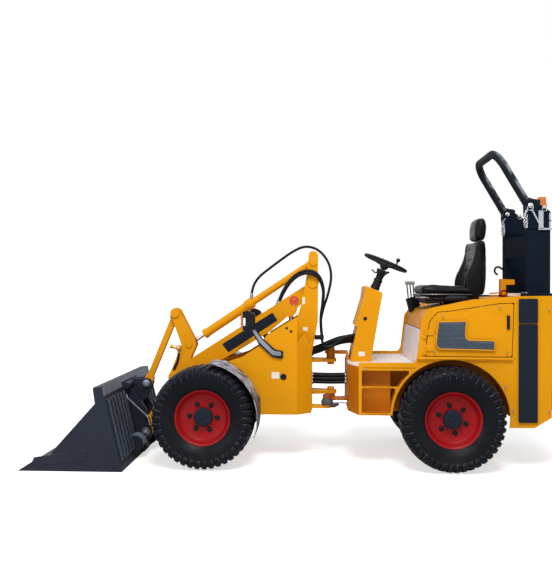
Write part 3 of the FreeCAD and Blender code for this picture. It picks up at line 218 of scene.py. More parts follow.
def make_dust_group():
    """Mask: how dusty a point is. It grows on faces that look up, near the ground, and in blotches."""
    tree, given, out = new_group("dust", [("Amount", 0.3), ("Height", 0.6)], [("Mask", "NodeSocketFloat")])
    where = add(tree, "ShaderNodeTexCoord").outputs["Object"]
    split = add(tree, "ShaderNodeSeparateXYZ")
    tree.links.new(where, split.inputs[0])
    facing = add(tree, "ShaderNodeNewGeometry")
    up = add(tree, "ShaderNodeSeparateXYZ")
    tree.links.new(facing.outputs["Normal"], up.inputs[0])
    ledge = math_node(tree, "MULTIPLY", ramp(tree, up.outputs["Z"], 0.45, 1.0), 0.7)
    share_up = math_node(tree, "DIVIDE", split.outputs["Z"], given.outputs["Height"])
    low = math_node(tree, "SUBTRACT", 1.0, share_up, True)
    settles = math_node(tree, "ADD", ledge, low, True)
    blot = math_node(tree, "ADD", ramp(tree, noise(tree, where, 9.0, 6.0, 0.65), 0.38, 0.72), 0.25)
    fine = math_node(tree, "ADD", ramp(tree, noise(tree, where, 70.0), 0.25, 0.8), 0.4)
    spread = math_node(tree, "MULTIPLY", blot, fine)
    mask = math_node(tree, "MULTIPLY", math_node(tree, "MULTIPLY", settles, spread), given.outputs["Amount"],
                     True)
    tree.links.new(mask, out.inputs["Mask"])
    return tree


DUST = make_dust_group()
print("dust sockets:", [s.name for s in DUST.interface.items_tree])

# %% Paler edges: rubbed paint and painted highlight
EDGE_RADIUS = 0.004


def make_edge_group():
    """Normal rounded over edges, and a mask of those edges: the rounded normal leans away from the
    flat one there. The mask makes edges paler, as rubbed paint and as a painted highlight."""
    tree, given, out = new_group("soft_edges", [("Mottle", 40.0)],
                                 [("Normal", "NodeSocketVector"), ("Edge", "NodeSocketFloat")])
    bevel = add(tree, "ShaderNodeBevel", samples=4)
    bevel.inputs["Radius"].default_value = EDGE_RADIUS
    facing = add(tree, "ShaderNodeNewGeometry")
    dot = add(tree, "ShaderNodeVectorMath", operation="DOT_PRODUCT")
    tree.links.new(bevel.outputs["Normal"], dot.inputs[0])
    tree.links.new(facing.outputs["True Normal"], dot.inputs[1])
    lean = ramp(tree, dot.outputs["Value"], 0.99, 0.75)
    where = add(tree, "ShaderNodeTexCoord").outputs["Object"]
    patchy = ramp(tree, noise(tree, where, given.outputs["Mottle"], 4.0, 0.5), 0.35, 0.65)
    tree.links.new(math_node(tree, "MULTIPLY", lean, patchy), out.inputs["Edge"])
    tree.links.new(bevel.outputs["Normal"], out.inputs["Normal"])
    return tree


EDGES = make_edge_group()
print("edge sockets:", [s.name for s in EDGES.interface.items_tree])


# %% Uneven colour, gloss and grain
def make_uneven_group():
    """Three patterns: Slow for the colour, Patchy for the gloss, and Grain for a fine bump."""
    tree, given, out = new_group("unevenness", [("Grain Scale", 300.0)],
                                 [(label, "NodeSocketFloat") for label in ("Slow", "Patchy", "Grain")])
    where = add(tree, "ShaderNodeTexCoord").outputs["Object"]
    tree.links.new(ramp(tree, noise(tree, where, 3.5, 4.0), 0.3, 0.7), out.inputs["Slow"])
    tree.links.new(ramp(tree, noise(tree, where, 25.0), 0.3, 0.7), out.inputs["Patchy"])
    tree.links.new(noise(tree, where, given.outputs["Grain Scale"], 2.0), out.inputs["Grain"])
    return tree


UNEVEN = make_uneven_group()
print("groups:", [g.name for g in bpy.data.node_groups])

# %% [markdown]
# ## Finishes
# Sprayed machine paint is a smooth coloured coat under a clear one, with a slight orange peel. The
# same builder makes plastic and cast parts when the clear coat is left out and the grain is larger.


# %% Material builder
DUST_COLOUR = srgb(150, 138, 122)
GLOSS_SPREAD = 0.12
DUST_DULLS = 0.5
BUMP_DEPTH = 0.002
COAT_ROUGH = 0.12


def scaled(colour, factor, lift=0.0):
    """A colour made darker or lighter, kept at 1 or below."""
    return tuple(min(1, c * factor + lift) for c in colour[:3]) + (1.0,)


def finish(name, colour, rough=0.4, coat=0.0, metallic=0.0, grain=(300.0, 0.05), vary=0.06, dust=0.25,
           edge=0.25, edge_colour=None, specular=0.5):
    """A Principled material: colour that varies slowly, paler edges that are partly rubbed paint and partly a
    painted highlight, dust, and a fine bump of (scale, strength) grain. Its roughness is
    rough + patchy * 0.12 - 0.06, and more where it is dusty."""
    mat = bpy.data.materials.new(name)
    mat.use_nodes = True
    tree = mat.node_tree
    shader = tree.nodes["Principled BSDF"]
    uneven = add(tree, "ShaderNodeGroup", node_tree=UNEVEN)
    uneven.inputs["Grain Scale"].default_value = grain[0]
    base = mix_colour(tree, uneven.outputs["Slow"], scaled(colour, 1 - vary), scaled(colour, 1 + vary))
    edges = add(tree, "ShaderNodeGroup", node_tree=EDGES)
    # paler edges: rubbed paint, and a painted highlight where edge_colour is light
    rubbed_and_highlit = math_node(tree, "MULTIPLY", edges.outputs["Edge"], edge)
    base = mix_colour(tree, rubbed_and_highlit, base, edge_colour or scaled(colour, 1.5, 0.02))
    settled = add(tree, "ShaderNodeGroup", node_tree=DUST)
    settled.inputs["Amount"].default_value = dust
    feed(tree, mix_colour(tree, settled.outputs["Mask"], base, DUST_COLOUR), shader.inputs["Base Color"])
    gloss = math_node(tree, "MULTIPLY", uneven.outputs["Patchy"], GLOSS_SPREAD)
    dulled = math_node(tree, "MULTIPLY", settled.outputs["Mask"], DUST_DULLS)
    both_rough = math_node(tree, "ADD", gloss, dulled)
    feed(tree, math_node(tree, "ADD", both_rough, rough - GLOSS_SPREAD / 2, True), shader.inputs["Roughness"])
    bump = add(tree, "ShaderNodeBump")
    bump.inputs["Strength"].default_value = grain[1]
    bump.inputs["Distance"].default_value = BUMP_DEPTH
    feed(tree, uneven.outputs["Grain"], bump.inputs["Height"])
    feed(tree, edges.outputs["Normal"], bump.inputs["Normal"])
    feed(tree, bump.outputs["Normal"], shader.inputs["Normal"])
    for label, value in (("Metallic", metallic), ("Coat Weight", coat), ("Coat Roughness", COAT_ROUGH),
                         ("Specular IOR Level", specular)):
        shader.inputs[label].default_value = value
    return mat


print("dust dulls by:", DUST_DULLS, "bump distance:", BUMP_DEPTH)


# %% Every finish on the machine
# the light edge colours of the yellow and the rubber are painted highlights as well as rubbed paint
yellow = finish("yellow_paint", srgb(222, 149, 6), rough=0.5, vary=0.04, dust=0.01, edge=0.6,
                edge_colour=srgb(250, 204, 90), specular=0.12)
red = finish("red_paint", srgb(146, 10, 18), rough=0.42, vary=0.08, dust=0.03, edge=0.2, specular=0.16)
slate = finish("slate_paint", srgb(34, 39, 52), rough=0.5, vary=0.12, dust=0.01, edge=0.55,
               edge_colour=srgb(132, 138, 150), specular=0.18)
navy = finish("dark_paint", srgb(22, 30, 43), rough=0.55, vary=0.08, dust=0.0, edge=0.2,
              edge_colour=srgb(86, 96, 116), specular=0.14)
black = finish("black_paint", srgb(24, 25, 30), rough=0.45, dust=0.06, edge=0.3, specular=0.14)
grey = finish("grey_paint", srgb(60, 66, 78), rough=0.5, vary=0.25, dust=0.01, edge=0.2, specular=0.2)
rubber = finish("tyre_rubber", srgb(13, 16, 24), rough=0.38, grain=(180.0, 0.25), vary=0.16, dust=0.03,
                edge=0.6, edge_colour=srgb(112, 120, 142), specular=0.1)
pin_steel = finish("pin_steel", srgb(150, 152, 156), rough=0.35, metallic=0.9, dust=0.1, edge=0.2)
chrome = finish("rod_chrome", srgb(215, 218, 222), rough=0.14, metallic=1.0, grain=(60.0, 0.0), vary=0.02,
                dust=0.03, edge=0.0)
floor_metal = finish("floor_metal", srgb(232, 224, 226), rough=0.5, vary=0.1, dust=0.02, edge=0.4,
                     edge_colour=srgb(236, 224, 216), specular=0.4)
iron = finish("engine_iron", srgb(62, 64, 68), rough=0.7, grain=(90.0, 0.4), dust=0.3)
plastic = finish("black_plastic", srgb(24, 25, 29), rough=0.5, grain=(220.0, 0.3), dust=0.04, edge=0.2,
                 specular=0.14)
leather = finish("seat_leather", srgb(12, 12, 16), rough=0.34, grain=(160.0, 0.4), vary=0.15, dust=0.0,
                 edge=0.1, specular=0.13)
amber = finish("amber_plastic", srgb(216, 112, 24), rough=0.25, coat=0.3, dust=0.02, edge=0.1)
hose = finish("hose_rubber", srgb(14, 15, 19), rough=0.45, grain=(240.0, 0.2), dust=0.02, edge=0.0,
              specular=0.16)
FINISHES = {"yellow_paint": yellow, "red_paint": red, "slate_paint": slate, "dark_paint": navy,
            "black_paint": black, "grey_paint": grey, "tyre_rubber": rubber, "pin_steel": pin_steel,
            "rod_chrome": chrome, "floor_metal": floor_metal, "engine_iron": iron, "black_plastic": plastic,
            "seat_leather": leather, "amber_plastic": amber, "hose_rubber": hose}
for part in frame["record"]["subparts"]:
    for place in nodes[part["node"]].material_slots:
        place.material = FINISHES[part["material_slot"]]
print("finishes:", len(FINISHES))

# %% [markdown]
# ## Finishes that differ from their slot
# The fenders and the covered hoop get a painted highlight, pale patches where they face the light. The
# welded rear frame is painted a deeper yellow than the panels, a painted shade for its recesses and
# arches, and the posts are duller than the other dark parts. The pale patches are a group of their own,
# because two finishes use them.


# %% Painted highlights on tops, and the nodes that get them
# the way a surface must face to get the painted highlight
HIGHLIGHT_WAY = (-0.35, 0.75, 0.56)


def make_highlight_tops_group():
    """Mask of a painted highlight: 1 where a surface leans forward, outward and up, broken into patches."""
    tree, given, out = new_group("painted_highlight_tops", [("From", 0.4), ("To", 0.9)], [("Mask", "NodeSocketFloat")])
    where = add(tree, "ShaderNodeTexCoord")
    lean = add(tree, "ShaderNodeVectorMath", operation="DOT_PRODUCT")
    lean.inputs[1].default_value = HIGHLIGHT_WAY
    tree.links.new(where.outputs["Normal"], lean.inputs[0])
    facing = ramp(tree, lean.outputs["Value"], given.outputs["From"], given.outputs["To"])
    patches = ramp(tree, noise(tree, where.outputs["Object"], 16.0, 5.0), 0.36, 0.62)
    tree.links.new(math_node(tree, "MULTIPLY", facing, patches), out.inputs["Mask"])
    return tree


HIGHLIGHT_TOPS = make_highlight_tops_group()
# a deeper yellow on the rear frame: painted shade for its step recesses and arches, with a painted highlight
# on its edges
shaded_frame_yellow = finish("shaded_frame_yellow", srgb(192, 108, 4), rough=0.5, vary=0.1, dust=0.02, edge=0.6,
                      edge_colour=srgb(250, 200, 96), specular=0.15)
hoop_cover = finish("hoop_cover", srgb(20, 25, 34), rough=0.6, grain=(70.0, 0.5), vary=0.2, dust=0.0,
                    edge=0.1, specular=0.14)


def paint_highlight_tops(mat, colour, low, high):
    """Lay the painted highlight patches over a finish's base colour."""
    tree = mat.node_tree
    target = tree.nodes["Principled BSDF"].inputs["Base Color"]
    base = target.links[0].from_socket
    tops = add(tree, "ShaderNodeGroup", node_tree=HIGHLIGHT_TOPS)
    tops.inputs["From"].default_value = low
    tops.inputs["To"].default_value = high
    feed(tree, mix_colour(tree, tops.outputs["Mask"], base, colour), target)


# painted highlights: pale patches on the hoop cover and on the grey paint where they face the light
paint_highlight_tops(hoop_cover, srgb(138, 144, 156), 0.66, 0.95)
paint_highlight_tops(grey, srgb(176, 182, 194), 0.42, 0.63)
post_navy = finish("post_paint", srgb(20, 28, 41), rough=0.8, grain=(300.0, 0.0), vary=0.08, dust=0.0,
                   edge=0.2, edge_colour=srgb(86, 96, 116), specular=0.03)
BETTER = {"front_fenders": grey, "rear_frame": shaded_frame_yellow, "rops_hoop": hoop_cover, "rops_posts": post_navy}
for node, better in BETTER.items():
    for place in nodes[node].material_slots:
        place.material = better
print("nodes with a finish of their own:", list(BETTER))

# %% [markdown]
# ## Tyres
# A turf tyre is a bulging carcass with bars moulded on it: each bar starts low on the shoulder as a
# block, climbs over it and sweeps back across the crown to the middle. Cutting such blocks one by
# one would take thousands of solids. Here the whole tyre is one surface, carcass plus a height that
# is a function of the angle round the wheel and the distance from the middle of the tread.

# %% Smooth steps and lines
def smoothstep(a, b, x):
    """0 below a, 1 above b, and 3t^2 - 2t^3 between."""
    t = np.clip((x - a) / (b - a), 0, 1)
    return t * t * (3 - 2 * t)


def catmull_rom(a, b, c, d, f):
    """The curve from b to c at share f, with a before b and d after c: a cubic whose slope at b is
    (c - a) / 2 and at c is (d - b) / 2."""
    return 0.5 * (2 * b + (c - a) * f + (2 * a - 5 * b + 4 * c - d) * f**2 + (3 * b - a - 3 * c + d) * f**3)


def spaced(curve, count, closed=False):
    """count points evenly spaced by length along a fine run of points."""
    run = np.r_[0, np.cumsum(np.linalg.norm(np.diff(curve, axis=0), axis=1))]
    want = np.linspace(0, run[-1], count, endpoint=not closed)
    return np.stack([np.interp(want, run, curve[:, k]) for k in range(curve.shape[1])], 1)


def smooth_line(points, count):
    """count points along a Catmull-Rom curve through the given ones, evenly spaced by length."""
    p = np.asarray(points, float)
    ext = np.vstack([2 * p[0] - p[1], p, 2 * p[-1] - p[-2]])
    t = np.linspace(0, len(p) - 1 - 1e-9, count * 8)
    i = t.astype(int)
    return spaced(catmull_rom(ext[i], ext[i + 1], ext[i + 2], ext[i + 3], (t - i)[:, None]), count)


print("a smooth step at 0.25, 0.5 and 0.75:", smoothstep(0, 1, np.array([0.25, 0.5, 0.75])).tolist())


# %% Wheel places and carcass
AXLE_Z = 0.371
TRACK_HALF = 0.491
AXLES = {"front": 0.613, "rear": -1.167}
TYRE_HALF_W = 0.159
# (radius, distance from the tread's middle) of the carcass, from the bead to the crown
CARCASS = np.array([(0.1915, 0.098), (0.199, 0.111), (0.208, 0.1195), (0.224, 0.131), (0.244, 0.143),
                    (0.266, 0.1515), (0.288, 0.156), (0.308, 0.1565), (0.326, 0.1525), (0.341, 0.143),
                    (0.3488, 0.128), (0.3530, 0.106), (0.3555, 0.075), (0.3568, 0.038), (0.3572, 0.0)])
CARCASS_STEPS = 42
print("carcass radius:", CARCASS[:, 0].max(), "half width:", CARCASS[:, 1].max())

# %% Tread
LUGS = 42
STEPS_PER_LUG = 20
BAR_HEIGHT = 0.0137
BAR_HALF = 0.27  # half a bar, as a share of the pitch
CROWN_R = 0.350  # past this radius the bars stop short of the middle
# (radius, half width, height) of the moulded rings on the side wall
SIDE_RINGS = [(0.262, 0.0022, 0.0009), (0.297, 0.003, 0.0009), (0.2205, 0.0035, 0.0016)]


def bar_height(u, y, r):
    """Height of the bars over the carcass. With u counting bars round the wheel, a bar's middle line
    is u = sweep(y), which leans back towards the crown, and the two sides are half a pitch apart. A bar
    is where the distance to that line is under its half width, with steep smooth walls; it fades in
    on the shoulder."""
    reach = np.abs(y) / TYRE_HALF_W
    sweep = 0.95 * (1 - reach) ** 1.25 + np.where(y < 0, 0.5, 0.0)
    off = np.abs((u - sweep + 0.5) % 1.0 - 0.5)
    half_bar = BAR_HALF + 0.02 * smoothstep(0.6, 0.95, reach)
    on_bar = 1 - smoothstep(half_bar - 0.04, half_bar + 0.03, off)
    low_end = smoothstep(0.299, 0.306, r)
    middle_gap = smoothstep(0.05, 0.075, reach)
    return BAR_HEIGHT * on_bar * low_end * np.where(r > CROWN_R, middle_gap, 1.0)


def tyre_points(axle_x, side):
    """The carcass turned about the axle, pushed out along its own normal by the height of its bars
    and rings: (r, y) + height * n, then x = axle + r cos t, z = AXLE_Z + r sin t."""
    half = smooth_line(CARCASS, CARCASS_STEPS)
    line = np.vstack([half, (half * [1, -1])[::-1][1:]])
    r, y = line.T
    tangent = np.gradient(line, axis=0)
    tangent /= np.linalg.norm(tangent, axis=1)[:, None]
    turns = LUGS * STEPS_PER_LUG
    t = np.arange(turns) / turns * 2 * np.pi
    rings = sum(high * np.exp(-(((r - at) / wide) ** 2)) for at, wide, high in SIDE_RINGS)
    push = bar_height(LUGS * t[:, None] / (2 * np.pi), y, r) + rings[None, :]
    rr = r - push * tangent[:, 1]
    yy = y + push * tangent[:, 0]
    x = axle_x + rr * np.cos(t)[:, None]
    z = AXLE_Z + rr * np.sin(t)[:, None]
    return np.stack([x, side * (TRACK_HALF + yy), z], -1)


print("bar pitch:", round(2 * math.pi * CARCASS[:, 0].max() / LUGS, 4), "steps round:", LUGS * STEPS_PER_LUG)


# %% The four tyres
def make_tyre(end, name, side):
    """Outer skin, closed inside the rim by a short sleeve between the two beads."""
    points = tyre_points(AXLES[end], side)
    faces = grid_faces(*points.shape[:2], True, True)
    tread = mesh_piece(f"tread_{end}_{name}", points, faces, rubber, f"wheel_{end}_{name}", "tyre_rubber")
    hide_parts(f"tyre_{end}_{name}")


for end in AXLES:
    for name, side in SIDES:
        make_tyre(end, name, side)
print("lugs per side:", LUGS)

# %% [markdown]
# ## Rims, hubs and wheel studs
# A pressed wheel is a turned shape: rolled flange, bead seat, a sloping well and a dished disc with
# stud holes. It could be lathed with a Screw modifier; here one closed profile of (radius, depth) is
# turned about the axle by its formula. The six notches round the hub are dark sockets, each with a
# nut at its bottom.

# %% Rims
RIM_TURNS = 120
CORNER_PULL = 0.18
RIM_PROFILE = [(0.1905, -0.100), (0.198, -0.106), (0.2055, -0.109), (0.2070, -0.1125), (0.2045, -0.1140),
               (0.196, -0.112), (0.186, -0.104), (0.181, -0.085), (0.160, -0.030), (0.160, 0.006),
               (0.150, 0.030), (0.128, 0.0435), (0.1225, 0.0425), (0.060, 0.0425), (0.060, 0.0515),
               (0.1215, 0.0515), (0.1265, 0.0530), (0.1440, 0.0560), (0.1480, 0.0585), (0.1530, 0.0590),
               (0.1650, 0.0640), (0.1780, 0.0800), (0.1830, 0.0930), (0.1865, 0.1040), (0.1950, 0.1110),
               (0.2035, 0.1140), (0.2065, 0.1125), (0.2065, 0.1085), (0.1985, 0.1060), (0.1905, 0.100),
               (0.1905, 0.030), (0.1700, 0.012), (0.1700, -0.030), (0.1905, -0.045)]


def lathe(profile, centre, turns=96, side=1):
    """Points of a profile of (radius, y) turned about the Y line through centre:
    x = cx + r cos t, z = cz + r sin t, y = side * y."""
    r, y = np.asarray(profile, float).T
    t = np.linspace(0, 2 * np.pi, turns, endpoint=False)
    x = centre[0] + np.cos(t)[:, None] * r
    z = centre[1] + np.sin(t)[:, None] * r
    return np.stack([x, np.broadcast_to(side * y, x.shape), z], -1)


def rounded(profile):
    """Each corner of a closed outline cut back by a share of its edges, so that it turns smoothly."""
    p = np.asarray(profile, float)
    nxt, prv = np.roll(p, -1, 0), np.roll(p, 1, 0)
    t = np.linspace(0, 1, 3)[None, :, None]
    a = p[:, None] + CORNER_PULL * (prv - p)[:, None]
    b = p[:, None] + CORNER_PULL * (nxt - p)[:, None]
    return ((1 - t) ** 2 * a + 2 * t * (1 - t) * p[:, None] + t**2 * b).reshape(-1, 2)


def make_rim(end, name, side):
    """The rim's closed profile turned about the axle."""
    profile = rounded(RIM_PROFILE) + [0, TRACK_HALF]
    points = lathe(profile, (AXLES[end], AXLE_Z), RIM_TURNS, side)
    faces = grid_faces(RIM_TURNS, len(profile), True, True)
    wheel = mesh_piece(f"wheel_{end}_{name}", points, faces, red, f"wheel_{end}_{name}", "red_paint")
    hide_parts(f"rim_{end}_{name}")


print("points on the rim's outline:", len(rounded(RIM_PROFILE)))

# %% Hubs
HUB_PROFILE = [(0.0, -0.05), (0.060, -0.05), (0.112, -0.04), (0.112, 0.020), (0.070, 0.0405),
               (0.0680, 0.0530), (0.0680, 0.0760), (0.0660, 0.0805), (0.0600, 0.0830), (0.0180, 0.0850),
               (0.0150, 0.0835), (0.0110, 0.0835), (0.0095, 0.0900), (0.0, 0.0905)]
HUB_TURNS = 72


def make_hub(end, name, side):
    """The hub cap's profile turned about the axle, from its middle behind to its middle in front."""
    body = lathe(np.array(HUB_PROFILE) + [0, TRACK_HALF], (AXLES[end], AXLE_Z), HUB_TURNS, side)
    hub = mesh_piece(f"hub_cap_{end}_{name}", body, grid_faces(HUB_TURNS, len(HUB_PROFILE), True),
                     navy, f"wheel_{end}_{name}", "dark_paint")
    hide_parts(f"hub_{end}_{name}")


print("hub radius:", max(r for r, depth in HUB_PROFILE), "stands out:", HUB_PROFILE[-1][1])


# %% Sockets and nuts round the hub, and the four wheels
STUDS = 6
STUD_CIRCLE = 0.1005
FIRST_STUD = {"front": 0.06, "rear": 0.32}
# a rounded socket from r = 80 mm to 121 mm, 37 mm wide: (share of its outline, depth)
SOCKET_INNER, SOCKET_OUTER, SOCKET_HALF = 0.0980, 0.1030, 0.0185
SOCKET_STEPS = [(1.0, 0.048), (1.0, 0.0528), (0.90, 0.0532), (0.86, 0.0522), (0.0, 0.0522)]
# a nut 22 mm across with the stud's end standing out of it: (radius, depth)
NUT_STEPS = [(0.0112, 0.050), (0.0112, 0.0600), (0.0098, 0.0625), (0.0058, 0.0625), (0.0055, 0.0690),
             (0.0, 0.0700)]


def flat_rings(rings, side):
    """Outlines in (x, z), each at its own depth from the middle of the track, joined into a surface."""
    grid = [np.stack([q[:, 0], np.full(len(q), side * (TRACK_HALF + y)), q[:, 1]], -1) for q, y in rings]
    return np.array(grid).transpose(1, 0, 2).reshape(-1, 3), grid_faces(len(rings[0][0]), len(rings), True)


def stud_shapes(end, side):
    """For each stud a dark oblong socket and a hexagon nut, both on the ray at the stud's angle."""
    centre = np.array([AXLES[end], AXLE_Z])
    s = np.linspace(0, 2 * np.pi, 24, endpoint=False)
    along = np.where(np.cos(s) > 0, SOCKET_OUTER, SOCKET_INNER) + SOCKET_HALF * np.cos(s)
    shapes = []
    for k in range(STUDS):
        a = 2 * np.pi * k / STUDS + FIRST_STUD[end]
        ray, across = np.array([np.cos(a), np.sin(a)]), np.array([-np.sin(a), np.cos(a)])
        ring = centre + along[:, None] * ray + SOCKET_HALF * np.sin(s)[:, None] * across
        mid = centre + STUD_CIRCLE * ray
        h = np.linspace(0, 2 * np.pi, 6, endpoint=False) + a
        hexagon = np.stack([np.cos(h), np.sin(h)], -1)
        shapes.append(flat_rings([(mid + (ring - mid) * share, y) for share, y in SOCKET_STEPS], side))
        shapes.append(flat_rings([(mid + radius * hexagon, y) for radius, y in NUT_STEPS], side))
    return shapes


for end in AXLES:
    for name, side in SIDES:
        make_rim(end, name, side)
        make_hub(end, name, side)
        mesh_piece(f"studs_{end}_{name}", *joined(stud_shapes(end, side)), black, f"wheel_{end}_{name}",
                   "black_paint", smooth=False)
print("nuts:", STUDS * len(AXLES) * len(SIDES))

# %% [markdown]
# ## Tubes
# Rods, pipes and hoses are a ring carried along a path. A curve with a bevel would draw the same, but
# a mesh made here can be joined with other shapes.


# %% Directions and tubes
def unit(v):
    """v / |v|: the same direction with length 1."""
    v = np.asarray(v, float)
    return v / np.linalg.norm(v)


def side_axes(along):
    """Two unit vectors square to a direction and to each other."""
    along = unit(along)
    other = np.array([0, 1, 0]) if abs(along[1]) < 0.9 else np.array([1, 0, 0])
    a = unit(np.cross(along, other))
    return a, np.cross(along, a)


def tube(path, radius, sides=10):
    """A ring p + r (cos s A + sin s B) at each point p of a path, in axes A and B carried along it
    without twist, closed by a point at each end."""
    p = np.asarray(path, float)
    tangent = np.gradient(p, axis=0)
    tangent /= np.linalg.norm(tangent, axis=1)[:, None]
    a = side_axes(tangent[0])[0]
    axes = []
    for t in tangent:
        a = unit(a - t * np.dot(a, t))
        axes.append((a, np.cross(t, a)))
    axes = np.array(axes)
    r = np.broadcast_to(radius, len(p))[:, None, None]
    s = np.linspace(0, 2 * np.pi, sides, endpoint=False)
    ring = np.cos(s)[None, :, None] * axes[:, None, 0] + np.sin(s)[None, :, None] * axes[:, None, 1]
    body = p[:, None] + r * ring
    ends = [np.broadcast_to(p[k], (1, sides, 3)) for k in (0, -1)]
    points = np.concatenate([ends[0], body, ends[1]])
    return points.reshape(-1, 3), grid_faces(len(p) + 2, sides, False, True)


print("points of a straight tube with 10 sides:", len(tube([(0, 0, 0), (0, 0, 1)], 0.1)[0]))


# %% [markdown]
# ## Seat
# The seat is foam under glossy black vinyl. Foam pushes the cover out into a crown, and the sewn
# channels pull it in again. A cloth simulation could find that shape; a surface written down gives it
# at once and the same each time. Each pad is one closed surface: a side view carried across the seat,
# drawn in towards the edges, crowned in the middle and pressed down along the seams.

# %% Pad surface
PAD_AROUND, PAD_ACROSS = 150, 61
CAP_RINGS = (0.93, 0.8, 0.6, 0.4, 0.2, 0.0)
CAP_BULGE = 0.010
SEAM_WIDTH = 0.0045


def smooth_loop(points, count):
    """count points round a closed Catmull-Rom curve, evenly spaced by length."""
    p = np.asarray(points, float)
    t = np.linspace(0, len(p), count * 6, endpoint=False)
    i = t.astype(int)
    curve = catmull_rom(*(p[(i + k) % len(p)] for k in (-1, 0, 1, 2)), (t - i)[:, None])
    return spaced(np.vstack([curve, curve[:1]]), count, True)


def loop_area(p):
    """Signed area of a closed outline: half the sum of x z' - x' z. Its sign says which way it runs."""
    return 0.5 * np.sum(p[:, 0] * np.roll(p[:, 1], -1) - np.roll(p[:, 0], -1) * p[:, 1])


def pad_surface(side_view, half_width, edge, shape):
    """Points (x, y, z) = side view at angle s, drawn in by edge * (1 - sqrt(1 - e^2)) near the sides,
    where e grows from 0 to 1 over the last part of the width; shape(s_point, y) then moves each point
    along the side view's outward normal. Each side closes in six rings that bulge by a centimetre."""
    loop = smooth_loop(side_view, PAD_AROUND)
    middle = loop.mean(0)
    tangent = np.roll(loop, -1, 0) - np.roll(loop, 1, 0)
    tangent /= np.linalg.norm(tangent, axis=1)[:, None]
    normal = np.sign(loop_area(loop)) * np.stack([tangent[:, 1], -tangent[:, 0]], 1)
    y = half_width * np.sin(np.linspace(-np.pi / 2, np.pi / 2, PAD_ACROSS))
    e = np.clip((np.abs(y) - (half_width - edge)) / edge, 0, 1)
    draw = edge * (1 - np.sqrt(1 - 0.96 * e**2)) * 0.8
    grid = loop[None] - draw[:, None, None] * normal[None]
    grid = grid + shape(grid, y[:, None])[..., None] * normal[None]
    rows = [np.c_[grid[k], np.full(PAD_AROUND, y[k])] for k in range(PAD_ACROSS)]
    for end, sign in ((0, -1), (-1, 1)):
        caps = [np.c_[middle + (grid[end] - middle) * s,
                      np.full(PAD_AROUND, sign * (half_width + CAP_BULGE * (1 - s**2)))] for s in CAP_RINGS]
        rows = caps[::-1] + rows if sign < 0 else rows + caps
    return np.array(rows)[..., [0, 2, 1]], grid_faces(len(rows), PAD_AROUND, False, True)


print("points of one pad:", (PAD_ACROSS + 2 * len(CAP_RINGS)) * PAD_AROUND)


# %% Seams and creases
def groove(distance, depth=0.005):
    """A seam pressed into the cover: a narrow dip exp(-(d/w)^2) with a soft shoulder 3.5 times wider."""
    d = np.abs(distance) / SEAM_WIDTH
    return -depth * (np.exp(-(d**2)) + 0.35 * np.exp(-((d / 3.5) ** 2)))


def creases(grid, y, size):
    """Slow folds of vinyl under load, the same on every run."""
    x, z = grid[..., 0], grid[..., 1]
    wave = np.sin(23 * x + 31 * y + 4 * np.sin(17 * z + 9 * y)) * np.sin(41 * z - 13 * y + 2)
    return size * wave + 0.4 * size * np.sin(67 * x - 45 * y + 30 * z)


print("a seam at its middle:", round(float(groove(0.0)), 5), "and 10 mm away:", round(float(groove(0.01)), 5))


# %% Shape of the cushion
CUSHION_SEAM, PIPING_Z = 0.155, 1.272


def cushion_shape(grid, y):
    """Crown in the middle, bolsters at |y| > 0.15 that stand up, three seams across and two along."""
    x, z = grid[..., 0], grid[..., 1]
    top = smoothstep(1.270, 1.300, z)
    front = smoothstep(-1.10, -1.00, x)
    crown = 0.010 * (1 - (y / 0.235) ** 2)
    bolster = 0.012 * smoothstep(0.13, 0.19, np.abs(y)) * (1 - front)
    cross = sum(groove(x - a, 0.0045) for a in (-1.09, -1.18, -1.27)) * (np.abs(y) < CUSHION_SEAM)
    seams = groove(np.abs(y) - CUSHION_SEAM) + cross * smoothstep(CUSHION_SEAM, 0.135, np.abs(y))
    piping = 0.0035 * np.exp(-(((z - PIPING_Z) / SEAM_WIDTH) ** 2))
    return top * (crown + bolster + seams) + piping + creases(grid, y, 0.0012)


print("cushion seams along y:", CUSHION_SEAM, "piping at z:", PIPING_Z)


# %% Shape of the back and headrest
BACK_SEAM = 0.15


def back_shape(grid, y):
    """Wings low on each side, a hollow between them, four level channels and a seam by each wing."""
    x, z = grid[..., 0], grid[..., 1]
    front = smoothstep(-1.452, -1.425, x + 0.06 * (z - 1.45))
    low = smoothstep(1.60, 1.36, z)
    wing = 0.052 * smoothstep(0.12, 0.20, np.abs(y)) * low
    hollow = -0.006 * (1 - (y / 0.23) ** 2) * smoothstep(1.30, 1.42, z)
    cross = sum(groove(z - a, 0.0045) for a in (1.36, 1.44, 1.52, 1.60))
    cross = cross * smoothstep(BACK_SEAM, 0.13, np.abs(y))
    seams = groove(np.abs(y) - BACK_SEAM)
    return front * (wing + hollow + cross + seams) + creases(grid, y, 0.0012)


def headrest_shape(grid, y):
    """A low crown and one seam round the edge of its front face."""
    crown = 0.006 * (1 - (y / 0.13) ** 2)
    return crown + groove(grid[..., 0] + 1.468, 0.004) + creases(grid, y, 0.0009)


print("back seams at y:", BACK_SEAM)


